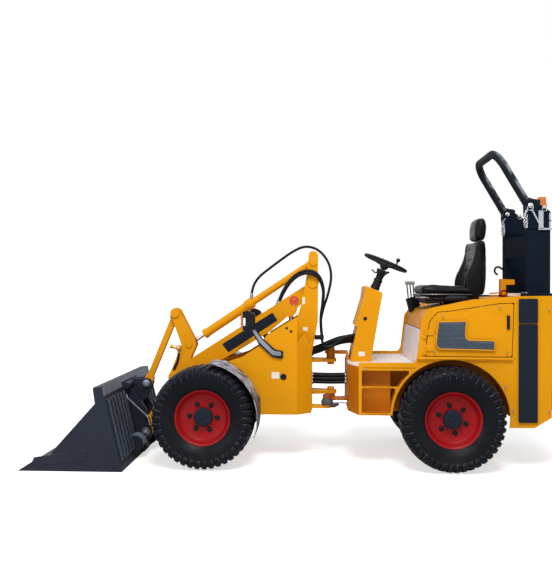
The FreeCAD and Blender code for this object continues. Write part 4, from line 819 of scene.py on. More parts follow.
# %% Cushion, back and headrest
PADS = {"seat_cushion": ([(-1.375, 1.256), (-1.20, 1.2535), (-1.05, 1.2535), (-1.012, 1.262), (-1.001, 1.290),
                          (-1.014, 1.314), (-1.06, 1.316), (-1.18, 1.307), (-1.34, 1.303), (-1.378, 1.290)],
                         0.225, 0.035, cushion_shape),
        "seat_back": ([(-1.392, 1.262), (-1.43, 1.256), (-1.468, 1.262), (-1.483, 1.34), (-1.487, 1.45),
                       (-1.484, 1.56), (-1.478, 1.645), (-1.450, 1.662), (-1.412, 1.650), (-1.400, 1.56),
                       (-1.392, 1.45), (-1.372, 1.34)], 0.222, 0.045, back_shape),
        "headrest": ([(-1.428, 1.690), (-1.455, 1.672), (-1.488, 1.680), (-1.504, 1.74), (-1.503, 1.80),
                      (-1.488, 1.832), (-1.462, 1.838), (-1.436, 1.815), (-1.424, 1.75)], 0.122, 0.030,
                     headrest_shape)}
for node, (side_view, half, edge, shape) in PADS.items():
    points, faces = pad_surface(side_view, half, edge, shape)
    pad = mesh_piece(f"{node}_cover", points, faces, leather, "rear_body", "seat_leather")
    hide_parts(node)
posts = joined([tube([(-1.462, y, 1.640), (-1.462, y, 1.70)], 0.007, 12) for y in (-0.06, 0.06)])
mesh_piece("headrest_posts", *posts, chrome, "rear_body", "rod_chrome")
print("pads:", list(PADS))

# %% [markdown]
# ## Under the cushion
# The cushion lies in a stamped tray with a bright rolled lip, on slides with a bent lever. All of it
# is flat stock, so the shape used from here on is the plate: an outline with rounded corners, drawn
# along Y, whose outer edge is cut back a little so that it catches the light. A Bevel modifier would
# do that too, but not on one edge only.

# %% Flat plates
def inset(outline, distance):
    """A closed 2-D outline moved inward: each corner goes along its bisector, far enough that both
    of its edges move by the distance."""
    p = np.asarray(outline, float)
    before, after = p - np.roll(p, 1, 0), np.roll(p, -1, 0) - p
    before /= np.linalg.norm(before, axis=1)[:, None]
    after /= np.linalg.norm(after, axis=1)[:, None]
    turn = np.sign(loop_area(p))
    n1 = turn * np.stack([-before[:, 1], before[:, 0]], 1)
    n2 = turn * np.stack([-after[:, 1], after[:, 0]], 1)
    mid = n1 + n2
    return p + distance * mid / (0.5 * np.sum(mid * mid, axis=1))[:, None]


def round_corners(outline, radius, steps=5):
    """Each corner of a closed outline replaced by a parabola from radius before it to radius after."""
    p = np.asarray(outline, float)
    prv, nxt = np.roll(p, 1, 0), np.roll(p, -1, 0)
    back, on = prv - p, nxt - p
    lb, lo = np.linalg.norm(back, axis=1), np.linalg.norm(on, axis=1)
    r = np.minimum(radius, 0.45 * np.minimum(lb, lo))[:, None, None]
    t = np.linspace(0, 1, steps)[None, :, None]
    a = p[:, None] + r * (back / lb[:, None])[:, None]
    b = p[:, None] + r * (on / lo[:, None])[:, None]
    return ((1 - t) ** 2 * a + 2 * t * (1 - t) * p[:, None] + t**2 * b).reshape(-1, 2)


def plate(outline, low, high, edge=0.0008):
    """An (x, z) outline drawn along Y from low to high, its outer edge cut back by edge."""
    p = np.asarray(outline, float)
    turn = 1 if high > low else -1
    rings = [(p, low), (p, high - turn * edge), (inset(p, edge), high)]
    points = np.concatenate([np.stack([q[:, 0], np.full(len(q), y), q[:, 1]], 1) for q, y in rings])
    faces = [list(f) for f in grid_faces(3, len(p), False, True)]
    faces += [list(range(len(p)))[::-1], list(range(2 * len(p), 3 * len(p)))]
    return points, faces


print("faces of a plate with four corners:", len(plate([(0, 0), (0, 1), (1, 1), (1, 0)], 0, 0.1)[1]))


# %% Seat tray, slides and lever
tray = plate(round_corners([(-1.385, 1.2445), (-1.385, 1.2535), (-0.998, 1.2535), (-0.985, 1.2445)], 0.003),
             -0.232, 0.232, 0.002)
mesh_piece("seat_tray", *tray, black, "rear_body", "black_paint", CREASE)
lip = np.array([(-1.37, 0.228, 1.2555), (-1.10, 0.231, 1.2555), (-1.005, 0.226, 1.2555),
                (-0.992, 0.20, 1.2555), (-0.990, 0.0, 1.2555), (-0.992, -0.20, 1.2555),
                (-1.005, -0.226, 1.2555), (-1.10, -0.231, 1.2555), (-1.37, -0.228, 1.2555)])
mesh_piece("seat_tray_lip", *tube(lip, 0.0035, 8), pin_steel, "rear_body", "pin_steel")


def slide_box(side):
    """Rail and cast lump of the slide on one side."""
    rail = plate(round_corners([(-1.36, 1.214), (-1.36, 1.243), (-1.06, 1.243), (-1.03, 1.214)], 0.004),
                 side * 0.19, side * 0.215)
    lump = plate(round_corners([(-1.335, 1.208), (-1.34, 1.243), (-1.20, 1.248), (-1.165, 1.232),
                                (-1.17, 1.206)], 0.014), side * 0.205, side * 0.252, 0.008)
    return [rail, lump]


mesh_piece("seat_slides", *joined(slide_box(1) + slide_box(-1)), plastic, "rear_body", "black_plastic", 50)
handle = tube([(-1.00, 0.10, 1.232), (-0.975, 0.12, 1.230), (-0.965, 0.16, 1.230), (-0.970, 0.205, 1.231),
               (-0.99, 0.235, 1.232), (-1.05, 0.243, 1.230)], 0.006, 8)
mesh_piece("seat_slide_lever", *handle, pin_steel, "rear_body", "pin_steel")
print("tray lip length:", round(float(np.linalg.norm(np.diff(lip, axis=0), axis=1).sum()), 3))

# %% [markdown]
# ## Side panels
# Thin things sit on the flat yellow sides: a dark adhesive band by the tail, a louvred window that
# lets hot air out of the engine bay, the latch, dome screws and a folded ledge under the door. They are
# plates a millimetre proud, so that their edges catch light as the real ones do. An image could show
# them flat, but not from the side. Each is made for the left and mirrored for the right.

# %% Mirrored shapes and the side band
SIDE_Y = 0.5142


def mirrored(shape):
    """The same shape on the machine's other side."""
    return np.asarray(shape[0], float).reshape(-1, 3) * [1, -1, 1], shape[1]


def on_side(side, shape):
    """A left-hand shape for the left side, its mirror image for the right."""
    return shape if side > 0 else mirrored(shape)


def both(shapes):
    """Shapes made for the left side and their mirror images, as one."""
    return joined([*shapes, *(mirrored(s) for s in shapes)])


BAND = [[(-1.772, 0.345), (-1.772, 1.046), (-1.638, 1.046), (-1.638, 0.345)],
        [(-1.772, 1.054), (-1.772, 1.226), (-1.638, 1.226), (-1.638, 1.054)]]
band = both([plate(round_corners(b, 0.004, 3), SIDE_Y - 0.001, SIDE_Y + 0.0008, 0.0004) for b in BAND])
mesh_piece("side_band", *band, navy, "rear_body", "dark_paint", CREASE)
print("band pieces:", 2 * len(BAND))

# %% Louvred window
SLAT_PITCH = 0.009
SLAT_FACES = [[0, 1, 2, 3], [3, 2, 5, 4], [0, 4, 5, 1], [0, 3, 4], [1, 5, 2]]
WINDOW = np.array([(-1.075, 1.060), (-1.270, 1.065), (-1.264, 0.956), (-1.282, 0.930), (-1.470, 0.926),
                   (-1.470, 0.860), (-1.080, 0.868), (-1.057, 0.898)])


def spans(outline, z):
    """The runs of x inside a closed outline at height z."""
    p, q = outline, np.roll(outline, -1, 0)
    hit = (p[:, 1] <= z) != (q[:, 1] <= z)
    x = p[hit, 0] + (z - p[hit, 1]) * (q[hit, 0] - p[hit, 0]) / (q[hit, 1] - p[hit, 1])
    x = np.sort(x)
    return list(zip(x[::2], x[1::2]))


def window_parts():
    """A backing sheet and a slat every SLAT_PITCH; each slat leans out at its lower edge."""
    back = plate(round_corners(WINDOW, 0.012), SIDE_Y - 0.001, SIDE_Y + 0.0006, 0.0003)
    slats = []
    for z in np.arange(0.868, 1.06, SLAT_PITCH):
        for x0, x1 in spans(inset(WINDOW, 0.007), z):
            # a long wedge: back edge, leaning lower edge, and a top edge 5.8 mm up
            rows = ((SIDE_Y, z), (SIDE_Y + 0.0034, z - 0.0012), (SIDE_Y, z + 0.0058))
            (y0, z0), (y1, z1), (y2, z2) = rows
            slat = [(x0, y0, z0), (x1, y0, z0), (x1, y1, z1), (x0, y1, z1), (x0, y2, z2), (x1, y2, z2)]
            slats.append((np.array(slat), SLAT_FACES))
    return [back, *slats]


def frame_bar(outline, width, high):
    """A raised border between an outline and the same outline moved in: flat on top, with sloping
    sides."""
    out = round_corners(outline, 0.012)
    steps = [(0, -0.001), (0, 0.4 * high), (0.3, high), (0.7, high), (1, 0.4 * high), (1, -0.001)]
    points = [np.stack([q[:, 0], np.full(len(q), SIDE_Y + y), q[:, 1]], 1)
              for q, y in ((inset(out, share * width), y) for share, y in steps)]
    return np.concatenate(points), grid_faces(len(steps), len(out), True, True)


vent_grey = finish("vent_grey", srgb(74, 86, 100), rough=0.55, vary=0.2, dust=0.02, edge=0.2,
                   edge_colour=srgb(120, 132, 144), specular=0.2)
window, border = joined(window_parts()), frame_bar(inset(WINDOW, -0.006), 0.009, 0.003)
print("window faces:", len(window[1]))


# %% Latches and screws
def turned(profile, at, axis, turns=24):
    """A profile of (radius, height) spun about the line through at along axis."""
    r, h = np.asarray(profile, float).T
    a, b = side_axes(axis)
    t = np.linspace(0, 2 * np.pi, turns, endpoint=False)
    ring = np.cos(t)[:, None] * a + np.sin(t)[:, None] * b
    points = np.asarray(at, float) + r[None, :, None] * ring[:, None] + h[None, :, None] * unit(axis)
    return points.reshape(-1, 3), grid_faces(turns, len(r), True)


def button(at, axis, size=0.016):
    """A domed screw head."""
    k = size / 2
    return turned([(0, 0), (k, 0), (0.98 * k, 0.2 * k), (0.75 * k, 0.48 * k), (0.4 * k, 0.58 * k),
                   (0, 0.6 * k)], at, axis, 14)


LATCH = [(-1.5775, 1.008), (-1.5775, 1.105), (-1.5605, 1.105), (-1.5605, 1.008)]
PULL = [(-1.573, 1.030), (-1.573, 1.083), (-1.565, 1.083), (-1.565, 1.030)]
DOOR_SCREWS = ((-1.108, 1.101), (-1.506, 1.166), (-1.045, 0.845), (-1.56, 0.845))
PANEL_SCREWS = ((-1.548, 0.600), (-1.60, 0.43), (-1.85, 0.43), (-1.85, 1.15), (-0.56, 0.72))
latch = joined([plate(round_corners(LATCH, 0.006), 0.502, 0.5125),
                plate(round_corners(PULL, 0.003), 0.5115, 0.5165)])
door_screws = joined([button((x, SIDE_Y - 0.0005, z), (0, 1, 0), 0.014) for x, z in DOOR_SCREWS])
# what each door carries: name, shape, finish, slot, shading
ON_DOOR = (("window", window, vent_grey, "dark_paint", False),
           ("window_frame", border, yellow, "yellow_paint", CREASE),
           ("latch", latch, plastic, "black_plastic", CREASE),
           ("screws", door_screws, pin_steel, "pin_steel", CREASE))
for name, side in SIDES:
    for what, shape, paint, slot, smooth in ON_DOOR:
        mesh_piece(f"door_{what}_{name}", *on_side(side, shape), paint, f"door_{name}", slot, smooth)
print("on each door:", [row[0] for row in ON_DOOR])

# %% Ledge and panel screws
LEDGE = [(-1.600, 0.790), (-1.600, 0.8065), (-0.925, 0.8065), (-0.925, 0.790)]
ledge = plate(LEDGE, SIDE_Y - 0.001, SIDE_Y + 0.0065, 0.004)
mesh_piece("side_ledges", *both([ledge]), yellow, "rear_body", "yellow_paint", CREASE)
panel_screws = [button((x, SIDE_Y - 0.0005, z), (0, 1, 0), 0.015) for x, z in PANEL_SCREWS]
mesh_piece("side_screws", *both(panel_screws), pin_steel, "rear_body", "pin_steel", CREASE)
print("screws:", 2 * (len(DOOR_SCREWS) + len(PANEL_SCREWS)))

# %% [markdown]
# ## Tread plate
# The floor and the riser in front of the seat are tread plate: short raised bars in pairs, each pair
# square to the next. Real bars are rolled into the sheet, so they are low and round-ended. Several
# hundred are needed, so one bar is only a stretched, flattened dome of a few dozen faces.

# %% Tread bars
BAR_STEPS = 10
BAR_RINGS = ((1.0, 0.0), (0.8, 0.0009), (0.45, 0.0013))  # share of the bar's size, height
BAR_LONG, BAR_WIDE = 0.013, 0.0036  # half its length and half its width
TREAD_PITCH = 0.0285
X_AXIS, Y_AXIS, Z_AXIS = np.eye(3)


def tread_bars(u, v, origin, axis_u, axis_v, axis_n):
    """Domes 26 x 7 x 1.3 mm at a checkerboard of places (u, v); neighbours lie square to each other.
    A point is origin + (u + a cos w - b sin w) U + (v + a sin w + b cos w) V + h N, with w = +-45
    degrees and (a, b) on an ellipse."""
    share, heights = np.array(BAR_RINGS).T
    turns = np.linspace(0, 2 * np.pi, BAR_STEPS, endpoint=False)
    uu, vv = np.meshgrid(np.arange(len(u)), np.arange(len(v)), indexing="ij")
    lean = np.where((uu + vv).ravel() % 2 == 0, np.pi / 4, -np.pi / 4)[:, None, None]
    a = share[None, :, None] * np.cos(turns)[None, None] * BAR_LONG
    b = share[None, :, None] * np.sin(turns)[None, None] * BAR_WIDE
    du = u[uu.ravel()][:, None, None] + a * np.cos(lean) - b * np.sin(lean)
    dv = v[vv.ravel()][:, None, None] + a * np.sin(lean) + b * np.cos(lean)
    h = np.broadcast_to(heights[None, :, None], du.shape)
    p = np.asarray(origin, float) + du[..., None] * axis_u + dv[..., None] * axis_v + h[..., None] * axis_n
    top = 2 * BAR_STEPS
    lids = [list(range(top, top + BAR_STEPS)), list(range(BAR_STEPS))[::-1]]
    one = [list(f) for f in grid_faces(len(BAR_RINGS), BAR_STEPS, False, True)] + lids
    return joined([(bar_points.reshape(-1, 3), one) for bar_points in p])


def drop(shape, bad):
    """The bars of a family that have none of their points marked bad."""
    per_bar = len(BAR_RINGS) * BAR_STEPS
    keep = ~bad.reshape(-1, per_bar).any(1)
    points = shape[0].reshape(-1, per_bar, 3)[keep].reshape(-1, 3)
    return points, [f for f in shape[1] if f[0] < len(points)]


print("points of one bar:", len(BAR_RINGS) * BAR_STEPS)


# %% Floor and riser
FLOOR_Z = 0.7408
RISER_FOOT, RISER_HEAD = np.array([-0.9330, 0, 0.741]), np.array([-0.9695, 0, 0.999])
across = np.arange(-0.470, 0.475, TREAD_PITCH)
floor_bars = tread_bars(np.arange(-0.905, -0.47, TREAD_PITCH), across, (0, 0, FLOOR_Z), X_AXIS, Y_AXIS,
                        Z_AXIS)
floor_x, floor_y = floor_bars[0][:, 0], np.abs(floor_bars[0][:, 1])
under_dash = (floor_x > -0.66) & (floor_y < 0.235)
past_corner = (floor_x > -0.53) & (floor_y > 0.27)
floor_shape = drop(floor_bars, (floor_x > -0.47) | under_dash | past_corner)
mesh_piece("floor_tread", *floor_shape, floor_metal, "rear_body", "floor_metal")
rise = RISER_HEAD - RISER_FOOT
riser_bars = tread_bars(np.arange(0.020, 0.245, TREAD_PITCH), across, RISER_FOOT, unit(rise), Y_AXIS,
                        unit([rise[2], 0, -rise[0]]))
mesh_piece("riser_tread", *riser_bars, floor_metal, "rear_body", "floor_metal")
print("tread bars:", (len(floor_shape[0]) + len(riser_bars[0])) // (len(BAR_RINGS) * BAR_STEPS))

# %% [markdown]
# ## Skirt, column joint and step grips
# A moulded skirt hides the slides below the cushion, and the steering column ends in a jointed yoke
# with a small stalk: a long turned profile, because every ridge of it is round. The steps have orange
# grip marks, low hexagons in a row.

# %% Skirt under the seat and joint of the steering column
SKIRT = [(-1.010, 1.243), (-1.315, 1.262), (-1.330, 1.205), (-1.180, 1.196), (-1.040, 1.182)]
mesh_piece("seat_skirt", *plate(round_corners(SKIRT, 0.010), -0.205, 0.205, 0.004), plastic, "rear_body",
           "black_plastic", CREASE)
COLUMN_TOP = np.array([-0.7490, 0.0, 1.5000])
COLUMN_LEAN = math.radians(23.0)
COLUMN = unit((math.sin(COLUMN_LEAN), 0, -math.cos(COLUMN_LEAN)))
yoke = turned([(0.012, 0.060), (0.040, 0.060), (0.044, 0.066), (0.043, 0.078), (0.033, 0.098),
               (0.0285, 0.120), (0.0285, 0.136), (0.034, 0.142), (0.035, 0.158), (0.030, 0.164),
               (0.034, 0.172), (0.034, 0.182), (0.031, 0.188), (0.036, 0.196), (0.036, 0.206), (0.034, 0.212),
               (0.012, 0.212)], COLUMN_TOP, COLUMN, 36)
stalk = tube([COLUMN_TOP + COLUMN * 0.075, COLUMN_TOP + COLUMN * 0.085 + (0.050, -0.020, 0.004),
              COLUMN_TOP + COLUMN * 0.070 + (0.074, -0.040, 0.014)], 0.0055, 10)
mesh_piece("column_yoke", *joined([yoke, stalk]), plastic, "rear_body", "black_plastic", CREASE)
print("the column leans", round(math.degrees(COLUMN_LEAN), 1), "degrees")

# %% Grip marks along the step edges
GRIP_ROWS = [(-0.905, -0.535, 0.728), (-0.750, -0.545, 0.584), (-0.715, -0.545, 0.3935)]
GRIP_Y = 0.501
GRIP_PITCH = 0.017
grip_orange = finish("grip_orange", srgb(176, 92, 8), rough=0.6, vary=0.1, dust=0.0, edge=0.2, specular=0.1)
hexagon = np.array([(-0.006, 0), (-0.003, 0.005), (0.003, 0.005), (0.006, 0), (0.003, -0.005),
                    (-0.003, -0.005)])
grips = [plate(hexagon + (x, z), GRIP_Y - 0.0016, GRIP_Y, 0.0004)
         for x0, x1, z in GRIP_ROWS for x in np.arange(x0, x1, GRIP_PITCH)]
mesh_piece("step_grips", *both(grips), grip_orange, "rear_body", "yellow_paint", CREASE)
print("grips:", 2 * len(grips))

# %% [markdown]
# ## Hydraulic hoses
# A hose has a fixed length and is stiff, so it leaves a fitting straight and turns in wide curves.
# Each is a NURBS line through a few chosen control points. Its smooth line is read back and a ring is
# carried along it to make a mesh. A hose that crosses a joint rides on neither body: its place is baked
# into its points. Crimped collars finish the ends.


# %% Hose line and hose
def nurbs_line(points):
    """The smooth line that Blender's own NURBS spline of order 3 makes from control points."""
    curve = bpy.data.curves.new("line", "CURVE")
    curve.dimensions = "3D"
    curve.resolution_u = 14
    spline = curve.splines.new("NURBS")
    spline.points.add(len(points) - 1)
    spline.points.foreach_set("co", np.c_[np.asarray(points, float), np.ones(len(points))].ravel())
    spline.order_u = 3
    spline.use_endpoint_u = True
    holder = bpy.data.objects.new("line", curve)
    bpy.context.scene.collection.objects.link(holder)
    bpy.context.view_layer.update()
    mesh = bpy.data.meshes.new_from_object(holder)
    line = np.empty(len(mesh.vertices) * 3)
    mesh.vertices.foreach_get("co", line)
    bpy.data.objects.remove(holder)
    bpy.data.meshes.remove(mesh)
    return line.reshape(-1, 3)


def run_length(line):
    """Length of a line: the sum of the lengths of its steps."""
    return float(np.linalg.norm(np.diff(line, axis=0), axis=1).sum())


def hose_piece(name, points, diameter, bodies):
    """One hose between two ends, riding on its one body. With two bodies it rides on neither, and its place
    is baked into its points.
    """
    line = nurbs_line(points)
    piece = mesh_piece(name, *tube(line, diameter / 2, 12), hose, bodies[0] if len(bodies) == 1 else None,
                       "black_plastic")
    if len(bodies) == 2:
        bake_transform(piece)
    return line


print("length of a corner with sides of 1 m:", run_length(np.array([(0, 0, 0), (0, 0, 1), (1, 0, 1)])))


# %% Collars and bolts
def collar(at, direction, diameter):
    """A crimped sleeve with a hexagon nut behind it, pointing the way the hose leaves. Its profiles are
    in half diameters of the hose."""
    k = diameter / 2
    at, direction = np.asarray(at, float), unit(direction)
    sleeve = k * np.array([(0, -0.6), (1.30, -0.6), (1.36, -0.3), (1.36, 1.6), (1.25, 2.2), (1.02, 2.4),
                           (0.9, 2.4)])
    nut = k * np.array([(0, -2.0), (1.5, -2.0), (1.7, -1.8), (1.7, -0.8), (1.5, -0.6), (0, -0.6)])
    return joined([turned(sleeve, at, direction, 18), turned(nut, at, direction, 6)])


def bolt(at, axis, size=0.016):
    """A washer and a six-sided head; size is across the head's corners, and the profiles are in it."""
    washer = size * np.array([(0, 0), (0.72, 0), (0.72, 0.10), (0.3, 0.13), (0, 0.13)])
    head = size * np.array([(0, 0.1), (0.5, 0.1), (0.5, 0.42), (0.42, 0.5), (0, 0.5)])
    return joined([turned(washer, at, axis, 16), turned(head, at, axis, 6)])


print("points of a bolt:", len(bolt((0, 0, 0), (0, 1, 0))[0]))


# %% Hose from the tilt cylinder over the tower
CLAMP_X, CLAMP_Z = -0.247, 0.925
THIN, THICK, BUNDLED = 0.020, 0.024, 0.046  # diameters
TILT_PORT = np.array([0.312, 0.0, 1.212])
over = hose_piece("hose_tilt", [TILT_PORT + (0, 0, 0.024), (0.308, 0, 1.300), (0.262, 0.004, 1.385),
                                (0.180, 0.010, 1.450), (0.085, 0.02, 1.520), (-0.010, 0.03, 1.588),
                                (-0.110, 0.04, 1.636), (-0.215, 0.05, 1.612), (-0.296, 0.07, 1.520),
                                (-0.325, 0.085, 1.400), (-0.300, 0.10, 1.270), (-0.250, 0.11, 1.120),
                                (CLAMP_X + 0.012, 0.112, 1.020), (CLAMP_X, 0.112, CLAMP_Z)], THIN,
                  ("tilt_barrel", "front"))
port = joined([tube([TILT_PORT + (0, 0, -0.022), TILT_PORT + (0, 0, 0.004)], 0.015, 12),
               collar(TILT_PORT + (0, 0, 0.024), (0, 0, 1), THIN)])
mesh_piece("tilt_port", *port, pin_steel, "tilt_barrel", "pin_steel", CREASE)
print("tilt hose:", round(run_length(over), 3))

# %% Pair of hoses from the boom past the tower's near face
pair_ends = []
for k, (dy, dz) in enumerate(((0.0, 0.0), (0.022, -0.018))):
    line = hose_piece(f"hose_boom_{'ab'[k]}", [(0.094, 0.050 + dy / 2, 1.190 + dz),
                                               (0.080, 0.058 + dy / 2, 1.232 + dz),
                                               (0.046, 0.086 + dy / 2, 1.300 + dz),
                                               (-0.004, 0.125 + dy / 2, 1.372 + dz),
                                               (-0.075, 0.160 + dy / 2, 1.428 + dz),
                                               (-0.165, 0.168 + dy / 2, 1.440 + dz),
                                               (-0.228, 0.157 + dy / 2, 1.400 + dz),
                                               (-0.262, 0.142 + dy / 2, 1.300 + dz),
                                               (-0.252, 0.130 + dy / 2, 1.180),
                                               (-0.232, 0.124 + dy / 2, 1.050),
                                               (CLAMP_X, 0.126 + 1.1 * dy, CLAMP_Z)], THICK,
                      ("boom", "front"))
    pair_ends.append(line[0])
boom_collars = joined([collar(p, (-0.28, 0.1, 0.95), THICK) for p in pair_ends])
mesh_piece("boom_hose_collars", *boom_collars, pin_steel, "boom", "pin_steel", CREASE)
block = plate(round_corners([(-0.262, 0.905), (-0.262, 0.938), (-0.190, 0.938), (-0.190, 0.905)], 0.006),
              0.098, 0.166, 0.002)
mesh_piece("hose_clamp", *joined([block, bolt((-0.205, 0.166, 0.921), (0, 1, 0), 0.014)]), plastic, "front",
           "black_plastic", CREASE)
print("boom hoses start at:", [p.round(3).tolist() for p in pair_ends])

# %% Hoses across the pivot, into the dash
DASH_FACE = -0.497
PIVOT_FRONT, PIVOT_REAR = -0.168, -0.4375
BUNDLE_STEP = np.array([0, -0.030, -0.024])
for k, (y, z) in enumerate(((0.108, 0.0), (0.130, 0.004), (0.150, -0.002))):
    hose_piece(f"hose_dash_{'abc'[k]}", [(CLAMP_X, y, 0.906), (CLAMP_X - 0.004, y, 0.868),
                                         (-0.278, y - 0.004, 0.840 + z), (-0.330, y - 0.012, 0.858 + z),
                                         (-0.390, y - 0.02, 0.905 + z), (-0.445, y - 0.022, 0.932 + z),
                                         (DASH_FACE + 0.001, y - 0.022, 0.938 + z)], THIN,
               ("front", "rear_body"))
BUNDLE = [(-0.168, 0.075, 0.822), (-0.215, 0.075, 0.834), (-0.290, 0.078, 0.868), (-0.375, 0.082, 0.905),
          (-0.450, 0.084, 0.918), (DASH_FACE + 0.003, 0.084, 0.920)]
BOTH_FRAMES = ("front", "rear_body")
for name, step in (("hose_bundle", 0 * BUNDLE_STEP), ("hose_bundle_low", BUNDLE_STEP)):
    hose_piece(name, np.array(BUNDLE) + step, BUNDLED, BOTH_FRAMES)
GROMMET = [(0, -0.004), (0.030, -0.004), (0.030, 0.010), (0.024, 0.013)]
for name, at, way, body in (("front", (PIVOT_FRONT + 0.002, 0.075, 0.822), (-1, 0, 0.2), "front"),
                            ("rear", (DASH_FACE - 0.002, 0.084, 0.920), (1, 0, 0), "rear_body")):
    grommets = joined([turned(GROMMET, np.array(at) + k * BUNDLE_STEP, way, 24) for k in (0, 1)])
    mesh_piece(f"bundle_grommet_{name}", *grommets, plastic, body, "black_plastic", CREASE)
print("dash face to pivot:", round(PIVOT_FRONT - DASH_FACE, 3))

# %% Drive hoses through the middle of the pivot
DRIVE_Y, DRIVE_Z, DRIVE_PITCH, DRIVE_D = 0.030, 0.5625, 0.0275, 0.027
# (x, fall) along a hose that sags 2 mm between the two frames
DRIVE_SAG = [(PIVOT_FRONT, 0), (-0.200, 0), (-0.245, 0.001), (-0.290, 0.002), (-0.335, 0.002),
             (-0.385, 0.001), (-0.410, 0), (PIVOT_REAR, 0)]
DRIVE_NUT = [(0, 0), (0.019, 0), (0.019, 0.010), (0.0145, 0.014)]
drive_places = [(y, DRIVE_Z + DRIVE_PITCH * k) for y in (DRIVE_Y, -DRIVE_Y) for k in range(3)]
for k, (y, z) in enumerate(drive_places):
    hose_piece(f"hose_drive_{'lr'[k // 3]}{k % 3 + 1}", [(x, y, z - fall) for x, fall in DRIVE_SAG], DRIVE_D,
               BOTH_FRAMES)
for name, x, way, body in (("front", PIVOT_FRONT + 0.0015, -1, "front"),
                           ("rear", PIVOT_REAR - 0.001, 1, "rear_body")):
    nuts = joined([turned(DRIVE_NUT, (x, y, z), (way, 0, 0), 12) for y, z in drive_places])
    mesh_piece(f"drive_nuts_{name}", *nuts, pin_steel, body, "pin_steel", CREASE)
print("drive hoses:", len(drive_places))

# %% [markdown]
# ## Fittings at the crank and the steering pivot
# A brass-coloured elbow with a quick coupler sits on the bellcrank and a short hose hangs from it. Under
# the pivot there is a grease cup, and the steering rod's eye has a rubber boot and a rusty cap. They
# are all round, so each is a profile spun about its own line.

# %% Fitting and hose on the bellcrank
def crank_fitting():
    """A body standing up, a coupler pointing forward and a foot below, on the crank's near leg."""
    body = turned([(0, 0), (0.019, 0), (0.021, 0.003), (0.021, 0.020), (0.016, 0.026), (0.016, 0.038),
                   (0.0, 0.038)], (0.888, 0.062, 0.812), (0, 0, 1), 20)
    nose = turned([(0, 0), (0.013, 0), (0.013, 0.045), (0.017, 0.048), (0.017, 0.066), (0.012, 0.070),
                   (0, 0.070)], (0.888, 0.062, 0.826), (1, 0, 0.25), 16)
    foot = turned([(0, 0), (0.012, 0), (0.012, 0.030), (0, 0.030)], (0.888, 0.062, 0.785), (0, 0, 1), 12)
    return joined([body, nose, foot])


brass = finish("fitting_brass", srgb(206, 160, 96), rough=0.3, metallic=0.6, dust=0.1, edge=0.5,
               edge_colour=srgb(250, 236, 210))
mesh_piece("crank_fitting", *crank_fitting(), brass, "bellcrank", "pin_steel", CREASE)
hose_piece("hose_crank", [(0.888, 0.062, 0.787), (0.888, 0.062, 0.750), (0.898, 0.064, 0.715),
                          (0.918, 0.066, 0.675), (0.928, 0.066, 0.640), (0.930, 0.066, 0.610)], 0.018,
           ("bellcrank",))
print("points of the fitting:", len(crank_fitting()[0]))

# %% Cups and caps of the pivot
PIVOT_FOOT, STEER_EYE = (-0.317, 0, 0.3685), (-0.287, 0.172, 0.4068)
lower_cup = turned([(0.0, 0.0), (0.050, 0.0), (0.062, 0.005), (0.066, 0.014), (0.066, 0.034), (0.060, 0.042),
                    (0.049, 0.0475), (0, 0.0475)], PIVOT_FOOT, Z_AXIS, 40)
mesh_piece("lower_pivot_cup", *lower_cup, iron, "rear_body", "engine_iron", CREASE)
eye_boot = turned([(0.0, 0.0), (0.036, 0.0), (0.045, 0.006), (0.047, 0.016), (0.047, 0.030), (0.041, 0.040),
                   (0.036, 0.046), (0, 0.046)], STEER_EYE, Z_AXIS, 36)
eye_cap = turned([(0.0, 0.046), (0.034, 0.046), (0.035, 0.050), (0.034, 0.072), (0.028, 0.080),
                  (0.012, 0.084), (0, 0.084)], STEER_EYE, Z_AXIS, 28)
rusty = finish("rust_brown", srgb(124, 62, 24), rough=0.7, grain=(120.0, 0.5), vary=0.3, dust=0.05, edge=0.3)
mesh_piece("steer_eye_boot", *eye_boot, iron, "steer_rod", "engine_iron", CREASE)
mesh_piece("steer_eye_cap", *eye_cap, rusty, "steer_rod", "engine_iron", CREASE)
print("cups and caps:", 3)

# %% [markdown]
# ## Boom, tower and pins
# Small plain things: a dark plate along the boom, a round red-orange reflector, white blank labels,
# rubber plugs, bolts, and bright turned ends on the pins of the bucket's carrier. Plates and turned
# profiles make them all, and what exists on both sides goes into one mesh with its mirror image.

# %% Boom and front frame details
BOOM_Y = 0.0952
BOOM_PLATE = [(0.537, 0.862), (0.486, 0.798), (0.100, 1.050), (0.139, 1.112)]
boom_plate = plate(round_corners(BOOM_PLATE, 0.006, 3), BOOM_Y - 0.001, BOOM_Y + 0.0012, 0.0004)
mesh_piece("boom_plate", *both([boom_plate]), navy, "boom", "dark_paint", CREASE)
orange = finish("reflector_orange", srgb(206, 62, 18), rough=0.25, coat=0.5, dust=0.03, edge=0.2)
reflector = turned([(0, 0), (0.036, 0), (0.036, 0.004), (0.033, 0.006), (0.030, 0.0045), (0.012, 0.006),
                    (0.009, 0.0085), (0, 0.0085)], (-0.030, BOOM_Y, 1.205), (0, 1, 0), 40)
mesh_piece("boom_reflector", *both([reflector]), orange, "boom", "amber_plastic", CREASE)
print("boom faces at y:", BOOM_Y)

# %% Blank labels and plugs
TOWER_Y, FRONT_Y, DASH_Y = 0.140, 0.290, 0.200
BOLTS_AT = ((0.545, 0.52), (0.600, 0.54), (0.655, 0.52))
label = finish("label_white", srgb(232, 226, 214), rough=0.5, dust=0.1, edge=0.1)


def blank(x, z, w, h, y):
    """A label w wide and h high, centred at (x, z) on the face at y."""
    corners = np.array([(-w, -h), (-w, h), (w, h), (w, -h)]) / 2 + (x, z)
    return plate(round_corners(corners, 0.004, 3), y - 0.0005, y + 0.0008, 0.0003)


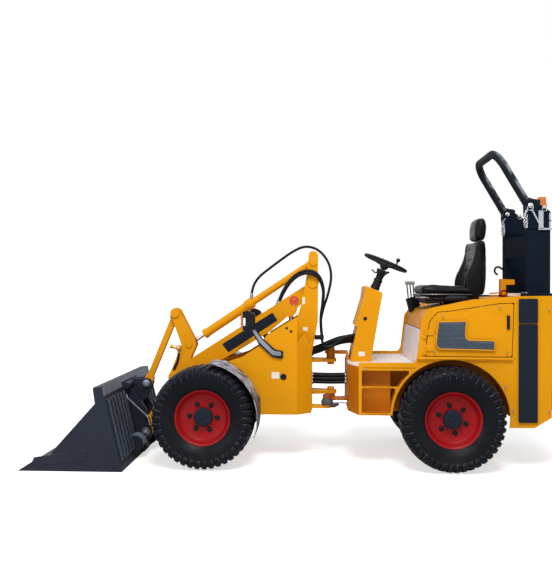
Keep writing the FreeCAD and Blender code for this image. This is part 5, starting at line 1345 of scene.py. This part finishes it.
front_labels = [blank(-0.105, 1.205, 0.022, 0.055, TOWER_Y), blank(0.105, 0.643, 0.060, 0.050, FRONT_Y),
                blank(-0.118, 0.985, 0.036, 0.030, TOWER_Y)]
mesh_piece("front_labels", *both(front_labels), label, "front", "dark_paint", CREASE)
mesh_piece("dash_label", *both([blank(-0.548, 0.800, 0.050, 0.036, DASH_Y)]), label, "rear_body",
           "dark_paint", CREASE)
plug = turned([(0, 0), (0.024, 0), (0.024, 0.003), (0.019, 0.006), (0.013, 0.006), (0.012, 0.001),
               (0, 0.001)], (0.045, FRONT_Y, 0.632), (0, 1, 0), 28)
small = [turned([(0, 0), (0.010, 0), (0.010, 0.0015), (0.007, 0.002), (0.0065, 0.0004), (0, 0.0004)],
                (x, FRONT_Y, z), (0, 1, 0), 16) for x, z in ((0.020, 1.000), (-0.012, 0.975))]
mesh_piece("front_plugs", *both([plug, *small]), plastic, "front", "black_plastic", CREASE)
dash_plug = turned([(0, 0), (0.014, 0), (0.014, 0.003), (0.010, 0.004), (0.009, 0.001), (0, 0.001)],
                   (-0.575, DASH_Y, 1.070), (0, 1, 0), 20)
mesh_piece("dash_plug", *both([dash_plug]), plastic, "rear_body", "black_plastic", CREASE)
front_bolts = [bolt((x, FRONT_Y, z), (0, 1, 0), 0.020) for x, z in BOLTS_AT]
mesh_piece("front_bolts", *both(front_bolts), yellow, "front", "yellow_paint", CREASE)
print("labels:", 2 * (len(front_labels) + 1), "bolts:", 2 * len(front_bolts))

# %% Bright pin ends on the bucket's carrier
dome = [(0, 0), (0.034, 0), (0.036, 0.004), (0.033, 0.014), (0.024, 0.022), (0.012, 0.026), (0, 0.027)]
pin_blue = finish("pin_blue_grey", srgb(110, 128, 150), rough=0.3, coat=0.5, dust=0.02, edge=0.3)
upper_ends = turned(np.array(dome) * 0.86, (1.146, 0.0635, 0.545), (0, 1, 0), 32)
mesh_piece("carrier_pin_ends", *both([upper_ends]), pin_blue, "bucket", "slate_paint", CREASE)
lower_ends = turned(np.array(dome) * [0.5, 0.35], (1.139, 0.1350, 0.170), (0, 1, 0), 32)
mesh_piece("hitch_pin_ends", *both([lower_ends]), pin_blue, "hitch_pin", "slate_paint", CREASE)
print("pin ends:", 4)

# %% Gland and collar of the tilt cylinder
ROD_EYE = np.array([0.806, 0.0, 0.855])
UP = unit((-0.833, 0, 0.5533))
GLAND_AT = 0.1375  # up the rod from its eye
gland = turned([(0.0165, 0.0), (0.033, 0.0), (0.034, -0.003), (0.034, -0.006), (0.0165, -0.006)],
               ROD_EYE + GLAND_AT * UP, -UP, 32)
mesh_piece("tilt_gland", *gland, pin_steel, "tilt_barrel", "pin_steel", CREASE)
COLLAR = [(0.0285, 0.532), (0.0360, 0.532), (0.0400, 0.536), (0.0400, 0.548), (0.0430, 0.552),
          (0.0430, 0.600), (0.0400, 0.606), (0.0285, 0.614)]
mesh_piece("tilt_barrel_collar", *turned(COLLAR, ROD_EYE, UP, 40), yellow, "tilt_barrel", "yellow_paint",
           CREASE)
print("collar from", COLLAR[0][1], "to", COLLAR[-1][1], "m up the rod")

# %% [markdown]
# ## Bucket
# The bucket's top rail is painted a paler grey than the rest, a painted highlight, the inside of its
# side walls is painted a lighter grey as painted light, and the ribs on its back have pale strips along
# their edges, painted highlights. Below the carrier is a rounded heel on each side. The back leans, so
# these shapes are written in its own measures, up it and out from it, and turned into x and z by one
# small function.

# %% Rail, rib edges and inside walls: painted highlights and painted light
BACK = unit((144.0, 0, 605.0))
OUT = np.array([-BACK[2], 0, BACK[0]])
HEEL = np.array([1.171, 0.0, 0.0])
highlight_grey = finish("bucket_painted_highlight", srgb(104, 118, 134), rough=0.5, vary=0.2, dust=0.01, edge=0.3,
              edge_colour=srgb(150, 164, 178), specular=0.2)
light_grey = finish("bucket_light_grey", srgb(150, 156, 168), rough=0.45, vary=0.2, dust=0.02, edge=0.2, specular=0.3)


def on_back(places):
    """(x, z) of places given as (up the bucket's back, out behind it): HEEL + a BACK + b OUT."""
    return [tuple((HEEL + a * BACK + b * OUT)[[0, 2]]) for a, b in places]


def back_box(a0, a1, b0, b1, y0, y1):
    """A box set by how far up the bucket's back it reaches and how far behind it."""
    return plate(on_back([(a0, b0), (a1, b0), (a1, b1), (a0, b1)]), y0, y1)


# the rail's paler grey is a painted highlight on the back face of the top beam
mesh_piece("bucket_rail", *back_box(0.553, 0.617, -0.002, 0.0015, -0.693, 0.693), highlight_grey, "bucket",
           "slate_paint", CREASE)
RIBS, FIRST_RIB, LAST_RIB = 6, 0.260, 0.655
RIB_HALF, EDGE_HALF = 0.0145, 0.0025
# pale strips along each rib's edges: painted highlights
rib_edges = [back_box(0.078, 0.522, 0.0150, 0.0172, y - EDGE_HALF, y + EDGE_HALF)
             for rib in np.linspace(FIRST_RIB, LAST_RIB, RIBS) for y in (rib - RIB_HALF, rib + RIB_HALF)]
mesh_piece("bucket_rib_edges", *both(rib_edges), highlight_grey, "bucket", "slate_paint", CREASE)
# the inside of each side wall in a lighter grey: painted light
SIDE_IN = [(1.800, 0.020), (1.805, 0.062), (1.698, 0.080), (1.634, 0.168), (1.352, 0.480), (1.322, 0.470),
           (1.205, 0.020)]
mesh_piece("bucket_inside", *both([plate(SIDE_IN, 0.6808, 0.6824, 0.0004)]), light_grey, "bucket", "slate_paint",
           CREASE)
print("rib edges:", 2 * len(rib_edges))

# %% Heels and the latch rod
HEEL_SHAPE = [(0.045, 0.0), (0.175, 0.0), (0.180, 0.030), (0.165, 0.062), (0.135, 0.082), (0.100, 0.084),
              (0.070, 0.068), (0.050, 0.036)]
mesh_piece("bucket_heels", *both([plate(on_back(HEEL_SHAPE), 0.225, 0.310, 0.003)]), slate, "bucket",
           "slate_paint", CREASE)
# pale caps round the heels: painted highlights
HEEL_CAP = [(0.172, 0.0), (0.184, 0.0), (0.188, 0.034), (0.171, 0.070), (0.138, 0.091), (0.098, 0.093),
            (0.098, 0.086), (0.135, 0.084), (0.164, 0.064), (0.178, 0.030)]
mesh_piece("bucket_heel_caps", *both([plate(on_back(HEEL_CAP), 0.223, 0.312, 0.002)]), highlight_grey, "bucket",
           "slate_paint", CREASE)
latch_rod = [tube([(1.270, 0.200, 0.459), (1.200, 0.165, 0.378), (1.118, 0.138, 0.296)], 0.0045, 10),
             tube([(1.118, 0.138, 0.296), (1.100, 0.138, 0.225)], 0.0045, 10),
             turned([(0, 0), (0.011, 0), (0.012, 0.006), (0.008, 0.012), (0, 0.013)], (1.118, 0.134, 0.296),
                    (0, 1, 0), 16), tube([(1.2655, 0.200, 0.444), (1.2735, 0.200, 0.476)], 0.009, 10)]
mesh_piece("carrier_latch", *both(latch_rod), light_grey, "bucket", "slate_paint", CREASE)
print("latch rod parts:", len(latch_rod))

# %% [markdown]
# ## Work lamps
# Each lamp has a domed glass in a thin bezel, a white slit on its side that is a painted highlight, an
# orange edge strip and a bent flat arm. The glass and the bezel are one run of outlines, each further
# forward and further in than the last; the outer four are the bezel and the inner ones, closed by a
# point, are the glass.

# %% Lamp finishes and outlines
glass = finish("lamp_glass", srgb(236, 240, 244), rough=0.12, coat=0.8, dust=0.02, edge=0.0)
arm_grey = finish("arm_grey", srgb(138, 144, 156), rough=0.5, vary=0.2, dust=0.0, edge=0.2, specular=0.2)
strip_orange = finish("lamp_bracket_orange", srgb(206, 118, 40), rough=0.4, coat=0.2, dust=0.1)
LAMP_Y, LAMP_Z = 0.320, 1.059
LAMP_RIM = round_corners([(-0.040, -0.053), (0.042, -0.053), (0.042, 0.053), (-0.040, 0.053)], 0.020)
# (how far in, x) of the outlines from the housing to the middle of the glass
LAMP_STEPS = [(0, 0.346), (0, 0.3600), (0.003, 0.3615), (0.007, 0.3600), (0.014, 0.3630), (0.028, 0.3655)]
LAMP_TIP = (0.3665, LAMP_Y + 0.001, LAMP_Z)
# a white slit on the lamp's side: a painted highlight
HIGHLIGHT_SLIT = [(0.325, 1.020), (0.325, 1.080), (0.343, 1.080), (0.343, 1.020)]
EDGE_STRIP = [(0.3465, 0.990), (0.3465, 1.118), (0.3585, 1.118), (0.3585, 0.990)]
LAMP_ARM = [(0.060, 0.822), (0.115, 0.828), (0.205, 0.915), (0.262, 0.992), (0.284, 0.986), (0.226, 0.892),
            (0.128, 0.796), (0.060, 0.790)]
print("lamp outline points:", len(LAMP_RIM))

# %% The two lamps
rings = [np.stack([np.full(len(q), x), LAMP_Y + q[:, 0], LAMP_Z + q[:, 1]], 1)
         for q, x in ((inset(LAMP_RIM, way_in), x) for way_in, x in LAMP_STEPS)]
tip = np.tile([LAMP_TIP], (len(LAMP_RIM), 1))
ring_faces = grid_faces(4, len(LAMP_RIM), False, True)
lens, bezel = (np.concatenate([*rings[3:], tip]), ring_faces), (np.concatenate(rings[:4]), ring_faces)
highlight_slit = plate(round_corners(HIGHLIGHT_SLIT, 0.006), 0.3635, 0.3655)
strip = plate(round_corners(EDGE_STRIP, 0.003), 0.3620, 0.3655)
arm = plate(round_corners(LAMP_ARM, 0.020), 0.3035, 0.3060, 0.001)
for name, side in SIDES:
    mesh_piece(f"lamp_glass_{name}", *on_side(side, lens), glass, "front", "rod_chrome")
    mesh_piece(f"lamp_bezel_{name}", *on_side(side, bezel), plastic, "front", "black_plastic", CREASE)
    # white side slit: painted highlight
    mesh_piece(f"lamp_side_highlight_{name}", *on_side(side, highlight_slit), glass, "front", "rod_chrome", CREASE)
    mesh_piece(f"lamp_edge_{name}", *on_side(side, strip), strip_orange, "front", "amber_plastic", CREASE)
    mesh_piece(f"lamp_arm_{name}", *on_side(side, arm), arm_grey, "front", "dark_paint", CREASE)
print("lens depth:", round(LAMP_TIP[0] - LAMP_STEPS[3][1], 4))

# %% [markdown]
# ## Roll hoop
# The hoop folds about two pins. Each has a bright head and a spring ring; a short chain keeps the
# locking pin from being lost. A web stiffens each foot of the hoop, and a flat bracket carries a lamp.
# Rings and links are bent wire: a small circle carried round a large one, or round an oval.

# %% Rings of wire and chain links
WIRE = 0.0022
LINK_LONG, LINK_WIDE = 0.020, 0.013
CHAIN_PITCH = 0.0135


def wire_ring(at, axis, radius, wire, sides=28):
    """A closed ring of wire square to an axis: c + (R + w cos s) E(t) + w sin s N."""
    a, b = side_axes(axis)
    t = np.linspace(0, 2 * np.pi, sides, endpoint=False)
    s = np.linspace(0, 2 * np.pi, 8, endpoint=False)
    out = np.cos(t)[:, None] * a + np.sin(t)[:, None] * b
    reach = (radius + wire * np.cos(s))[None, :, None]
    points = np.asarray(at, float) + out[:, None] * reach + unit(axis) * (wire * np.sin(s))[:, None]
    return points.reshape(-1, 3), grid_faces(sides, 8, True, True)


def unit_rows(v):
    """Each row of v made 1 long."""
    return v / np.linalg.norm(v, axis=1)[:, None]


def link(at, along, flat):
    """One oval chain link: the line c + cos t L/2 A + sin t W/2 F with a wire round it."""
    t = np.linspace(0, 2 * np.pi, 18, endpoint=False)[:, None]
    along, flat = unit(along), unit(flat)
    normal = np.cross(along, flat)
    middle = np.asarray(at, float) + np.cos(t) * along * (LINK_LONG / 2) + np.sin(t) * flat * (LINK_WIDE / 2)
    out = unit_rows(np.cos(t) * along / LINK_LONG + np.sin(t) * flat / LINK_WIDE)
    s = np.linspace(0, 2 * np.pi, 6, endpoint=False)[None, :, None]
    points = middle[:, None] + WIRE * (np.cos(s) * out[:, None] + np.sin(s) * normal)
    return points.reshape(-1, 3), grid_faces(18, 6, True, True)


def chain(points):
    """Links along a smooth line, each turned a quarter from the last."""
    line = nurbs_line(points)
    run = np.r_[0, np.cumsum(np.linalg.norm(np.diff(line, axis=0), axis=1))]
    at = np.arange(CHAIN_PITCH / 2, run[-1], CHAIN_PITCH)
    centre = np.stack([np.interp(at, run, line[:, k]) for k in range(3)], 1)
    along = np.gradient(centre, axis=0)
    return joined([link(centre[k], along[k], side_axes(along[k])[0 if k % 2 else 1]) for k in range(len(at))])


print("points of one link:", len(link((0, 0, 0), (0, 0, 1), (0, 1, 0))[0]), "pitch:", CHAIN_PITCH)


# %% Hoop pins and lock chains
HOOP_PIN = np.array([-1.763, 0.367, 1.905])
LOCK_PIN = np.array([-1.862, 0.3615, 1.893])
near = [turned([(0, 0), (0.019, 0), (0.019, 0.006), (0.012, 0.009), (0, 0.009)], HOOP_PIN, (0, 1, 0), 24),
        wire_ring(HOOP_PIN + (0.004, 0.010, -0.018), (0.2, 1, 0.1), 0.020, WIRE),
        turned([(0, 0), (0.013, 0), (0.013, 0.008), (0, 0.010)], LOCK_PIN, (0, 1, 0), 20),
        wire_ring(LOCK_PIN + (0, 0.008, -0.014), (0.1, 1, 0.2), 0.016, 0.0020)]
inner = [turned([(0, 0), (0.017, 0), (0.017, 0.006), (0, 0.008)], (-1.763, 0.263, 1.905), (0, -1, 0), 20),
         turned([(0, 0), (0.013, 0), (0.013, 0.008), (0, 0.010)], (-1.862, 0.269, 1.893), (0, -1, 0), 20),
         wire_ring((-1.862, 0.258, 1.880), (0.1, 1, 0.2), 0.016, 0.0020)]
mesh_piece("hoop_pins", *both(near + inner), chrome, "rear_body", "rod_chrome", CREASE)
chain_run = [(-1.742, 0.366, 1.880), (-1.722, 0.372, 1.850), (-1.716, 0.372, 1.800), (-1.722, 0.370, 1.745),
             (-1.734, 0.368, 1.742), (-1.737, 0.368, 1.790), (-1.733, 0.368, 1.835)]
far_run = [(x - 0.004, 0.098 - y, z - 0.01) for x, y, z in chain_run]
chains = joined([chain(chain_run), chain(far_run)])
mesh_piece("lock_chains", *chains, chrome, "rear_body", "rod_chrome", CREASE)
print("chain faces:", len(chains[1]))

# %% Foot webs on the hoop
WEB = [(-1.722, 1.928), (-1.690, 1.985), (-1.735, 1.975), (-1.790, 1.958), (-1.842, 1.950), (-1.846, 1.925),
       (-1.800, 1.905), (-1.763, 1.888)]
web = plate(round_corners(WEB, 0.010), 0.3235, 0.3385, 0.003)
foot_ring = wire_ring((-1.7275, 0.315, 1.9655), (0.5075, 0, 0.8616), 0.0295, 0.004, 40)
mesh_piece("hoop_webs", *both([web, foot_ring]), navy, "rops_hoop", "dark_paint", CREASE)
print("web outline points:", len(WEB))

# %% [markdown]
# ## Brackets on the posts and deck
# A flat zinc bracket beside the left post carries a lamp, a hook holds the belt, and on the deck stand
# a red lifting ring, a folded brace and a small pale box.


# %% Lamp bracket
def bar(p, q, width, height):
    """A straight square bar from p to q, with its height along Z where that is possible."""
    p, q = np.asarray(p, float), np.asarray(q, float)
    along = unit(q - p)
    up = np.array([0, 0, 1.0]) if abs(along[2]) < 0.9 else np.array([1.0, 0, 0])
    across = unit(np.cross(along, up))
    up = np.cross(across, along)
    c = np.array([(-1, -1), (1, -1), (1, 1), (-1, 1)])
    ring = c[:, :1] * across * width / 2 + c[:, 1:] * up * height / 2
    points = np.concatenate([p + ring, q + ring])
    return points, [[0, 1, 2, 3], [7, 6, 5, 4], [0, 4, 5, 1], [1, 5, 6, 2], [2, 6, 7, 3], [3, 7, 4, 0]]


FLAT_Y = 0.3615
flats = [plate(b, FLAT_Y, FLAT_Y + 0.005) for b in (
    [(-1.856, 1.735), (-1.856, 1.868), (-1.822, 1.868), (-1.822, 1.735)],
    [(-1.925, 1.727), (-1.925, 1.741), (-1.820, 1.741), (-1.820, 1.727)],
    [(-1.908, 1.741), (-1.908, 1.850), (-1.897, 1.850), (-1.897, 1.741)],
    [(-1.925, 1.790), (-1.925, 1.800), (-1.897, 1.800), (-1.897, 1.790)])]
flats.append(bar((-1.772, 0.3645, 1.880), (-1.838, 0.3645, 1.752), 0.005, 0.011))
bright = finish("zinc_plate", srgb(186, 190, 196), rough=0.35, metallic=0.4, dust=0.1, edge=0.4, specular=0.4)
mesh_piece("rear_lamp_bracket", *joined(flats), bright, "rear_body", "pin_steel", CREASE)
print("bracket parts:", len(flats))

# %% Hook, lifting ring, brace and switch box
hook_line = nurbs_line([(-1.747, -0.315, 1.452), (-1.715, -0.315, 1.478), (-1.685, -0.315, 1.476),
                        (-1.672, -0.315, 1.450), (-1.680, -0.315, 1.424), (-1.700, -0.315, 1.412)])
mesh_piece("belt_hook", *tube(hook_line, 0.008, 10), plastic, "rear_body", "black_plastic")
red_eye = joined([wire_ring((-1.672, -0.020, 1.262), (0, 1, 0), 0.022, 0.006),
                  turned([(0, 0), (0.016, 0), (0.016, 0.008), (0, 0.010)], (-1.672, -0.020, 1.2315),
                         (0, 0, 1), 16)])
mesh_piece("lift_eye", *red_eye, red, "rear_body", "red_paint", CREASE)
foot_plates = [plate(round_corners([(-1.728, 1.262), (-1.728, 1.372), (-1.742, 1.372), (-1.742, 1.262)],
                                   0.003), -0.345, -0.285, 0.002),
               plate(round_corners([(-1.722, 1.262), (-1.722, 1.272), (-1.640, 1.262), (-1.640, 1.252)],
                                   0.003), -0.345, -0.285, 0.002)]
mesh_piece("hoop_foot_brace", *joined(foot_plates), yellow, "rear_body", "yellow_paint", CREASE)
switch_box = plate(round_corners([(-1.715, 1.236), (-1.715, 1.262), (-1.83, 1.262), (-1.83, 1.236)], 0.004),
                   -0.12, -0.06, 0.002)
mesh_piece("battery_switch_box", *switch_box, label, "rear_body", "dark_paint", CREASE)
post_bolts = [bolt((-1.735, y, 1.2645), Z_AXIS, 0.018) for y in (0.270, 0.360)]
mesh_piece("post_bolts", *both(post_bolts), pin_steel, "rear_body", "pin_steel", CREASE)
print("post bolts:", 2 * len(post_bolts))

# %% [markdown]
# ## Controls
# The steering wheel is already whole in the solids. The levers beside the seat end in pale worn
# knobs, turned shapes whose colour has been rubbed off the black. They follow the levers to
# whichever side those stand on.

# %% Lever knobs
KNOB = [(0, -0.0165), (0.010, -0.014), (0.0158, -0.006), (0.0168, 0.002), (0.0150, 0.010), (0.009, 0.0155),
        (0, 0.017)]
LEVERS_X, KNOB_Y, KNOB_Z = (-0.965, -0.990, -1.015), 0.300, 1.345
KNOB_SIDE = 1 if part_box("control_levers")[1][1] > 0 else -1
knobs = [turned(KNOB, (x + 0.012, KNOB_SIDE * KNOB_Y, KNOB_Z), (0.1, 0, 1), 20) for x in LEVERS_X]
knob_grey = finish("knob_grey", srgb(150, 148, 146), rough=0.35, coat=0.4, dust=0.1)
mesh_piece("lever_knobs", *joined(knobs), knob_grey, "rear_body", "black_plastic")
print("lever side:", KNOB_SIDE)

# %% [markdown]
# ## Tail
# Behind, the grille's slots are backed by a wire screen, and lamps sit each side: red below, amber
# above. The screen is real wire, square bars at a small pitch, since a hatched picture of it would
# lie flat when the light moves. The last piece is a folded bracket on the deck behind the seat.

# %% Tail lamps
TAIL_X = -1.927
lamp_shape = [(0, 0), (0.036, 0), (0.036, 0.0055), (0.033, 0.0075), (0.031, 0.005), (0.022, 0.0085),
              (0.010, 0.0098), (0, 0.010)]
red_lens = finish("lens_red", srgb(176, 16, 18), rough=0.15, coat=0.8, dust=0.03, edge=0.0)
LAMP_X = TAIL_X + 0.0075
mesh_piece("tail_lamps_red", *both([turned(lamp_shape, (LAMP_X, 0.395, 0.820), (-1, 0, 0), 36)]), red_lens,
           "rear_body", "red_paint", CREASE)
mesh_piece("tail_lamps_amber", *both([turned(lamp_shape, (LAMP_X, 0.395, 0.915), (-1, 0, 0), 36)]), amber,
           "rear_body", "amber_plastic", CREASE)
print("tail lamp depth:", lamp_shape[-1][1])

# %% Wire screen behind the grille
SCREEN_PITCH, SCREEN_WIRE = 0.0149, 0.0016
wires_v = [bar((-1.9165, y, 0.672), (-1.9165, y, 1.128), SCREEN_WIRE, SCREEN_WIRE)
           for y in np.arange(-0.298, 0.30, SCREEN_PITCH)]
wires_h = [bar((-1.9155, -0.302, z), (-1.9155, 0.302, z), SCREEN_WIRE, SCREEN_WIRE)
           for z in np.arange(0.676, 1.128, SCREEN_PITCH)]
mesh_piece("grille_screen", *joined(wires_v + wires_h), black, "rear_body", "black_paint", False)
screen_back = plate([(-1.9135, 0.660), (-1.9135, 1.140), (-1.9120, 1.140), (-1.9120, 0.660)], -0.31, 0.31)
mesh_piece("grille_backing", *screen_back, black, "rear_body", "black_paint", False)
tail_screws = [button((TAIL_X + 0.003, y, z), (-1, 0, 0), 0.016) for y in (0.45, 0.30) for z in (0.63, 1.19)]
mesh_piece("tail_screws", *both(tail_screws), pin_steel, "rear_body", "pin_steel", CREASE)
print("wires:", len(wires_v) + len(wires_h))

# %% Bracket behind the seat
bracket = [(-1.647, 1.250), (-1.690, 1.250), (-1.690, 1.328), (-1.757, 1.328), (-1.757, 1.368),
           (-1.647, 1.375)]
mesh_piece("rear_bracket", *plate(round_corners(bracket, 0.006), -0.070, -0.020, 0.002), yellow, "rear_body",
           "yellow_paint", CREASE)
print("bracket height:", bracket[-1][1] - bracket[0][1])

# %% [markdown]
# ## Floor, light and camera
# A pale floor and an even sky keep every colour close to how it was written. One large soft lamp
# from the front left gives form, and a weaker one opens the shadows. The camera stands beside the
# machine at a grown person's chest height, a little ahead of its middle.

# %% Floor and sky
FLOOR_REACH, FLOOR_LIFT, SKY = 60.0, 0.60, 0.44


def make_floor():
    """A large square under the wheels; what the camera sees of it is lifted to white, and shadows stay."""
    r = FLOOR_REACH
    mesh = bpy.data.meshes.new("floor")
    mesh.from_pydata([(-r, -r, 0), (r, -r, 0), (r, r, 0), (-r, r, 0)], [], [(0, 1, 2, 3)])
    floor = bpy.data.objects.new("floor", mesh)
    bpy.context.scene.collection.objects.link(floor)
    mat = bpy.data.materials.new("pale_floor")
    mat.use_nodes = True
    tree = mat.node_tree
    shader = tree.nodes["Principled BSDF"]
    shader.inputs["Base Color"].default_value = (0.80, 0.80, 0.80, 1)
    shader.inputs["Roughness"].default_value = 0.9
    shader.inputs["Specular IOR Level"].default_value = 0.1
    shader.inputs["Emission Color"].default_value = (1, 1, 1, 1)
    where = add(tree, "ShaderNodeTexCoord")
    away = add(tree, "ShaderNodeVectorMath", operation="LENGTH")
    tree.links.new(where.outputs["Object"], away.inputs[0])
    far = ramp(tree, away.outputs["Value"], 2.2, 6.0)
    white = math_node(tree, "ADD", math_node(tree, "MULTIPLY", far, 1.0 - FLOOR_LIFT), FLOOR_LIFT)
    seen = add(tree, "ShaderNodeLightPath")
    tree.links.new(math_node(tree, "MULTIPLY", seen.outputs["Is Camera Ray"], white),
                   shader.inputs["Emission Strength"])
    mesh.materials.append(mat)
    return floor


def make_sky():
    """An even sky: strength 1 where the camera or a gloss sees it, softer where it lights the machine."""
    world = bpy.data.worlds.new("sky")
    bpy.context.scene.world = world
    world.use_nodes = True
    tree = world.node_tree
    back = tree.nodes["Background"]
    back.inputs["Color"].default_value = (1, 1, 1, 1)
    path = add(tree, "ShaderNodeLightPath")
    seen = math_node(tree, "MAXIMUM", path.outputs["Is Camera Ray"], path.outputs["Is Transmission Ray"])
    seen = math_node(tree, "MAXIMUM", seen, path.outputs["Is Glossy Ray"])
    lift = math_node(tree, "MULTIPLY", seen, 1.0 - SKY)
    tree.links.new(math_node(tree, "ADD", lift, SKY), back.inputs["Strength"])


make_floor()
make_sky()
print("sky strength on the machine:", SKY)

# %% Lamps
def area_lamp(name, at, target, size, power, tint=(1, 1, 1)):
    """A square area lamp of this size and power (W), turned from at to look at target."""
    data = bpy.data.lights.new(name, "AREA")
    data.energy, data.size, data.color = power, size, tint
    lamp = bpy.data.objects.new(name, data)
    bpy.context.scene.collection.objects.link(lamp)
    lamp.location = at
    lamp.rotation_mode = "QUATERNION"
    lamp.rotation_quaternion = (Vector(target) - Vector(at)).to_track_quat("-Z", "Y")
    return lamp


area_lamp("key", (-0.5, 4.4, 6.4), (-0.1, 0.2, 0.7), 2.4, 375, (1.0, 0.985, 0.96))
area_lamp("fill", (4.6, 4.5, 2.6), (-0.6, 0.2, 0.8), 3.0, 70, (0.94, 0.97, 1.0))
print("lamps:", [light.name for light in bpy.data.lights])

# %% Camera
EYE = Vector((-0.193, 5.650, 1.303))
FOCAL_SHARE = 711 / 582
YAW, PITCH = math.radians(3.14), math.radians(-0.24)
camera_data = bpy.data.cameras.new("camera")
camera_data.sensor_width = 36.0
camera_data.lens = 36.0 * FOCAL_SHARE
camera = bpy.data.objects.new("camera", camera_data)
bpy.context.scene.collection.objects.link(camera)
camera.location = EYE
look = Vector((math.sin(YAW), -math.cos(YAW), math.tan(PITCH)))
camera.rotation_mode = "QUATERNION"
camera.rotation_quaternion = look.to_track_quat("-Z", "Y")
bpy.context.scene.camera = camera
bpy.context.scene.view_settings.view_transform = "Standard"
print("lens:", round(camera_data.lens, 2), "mm")
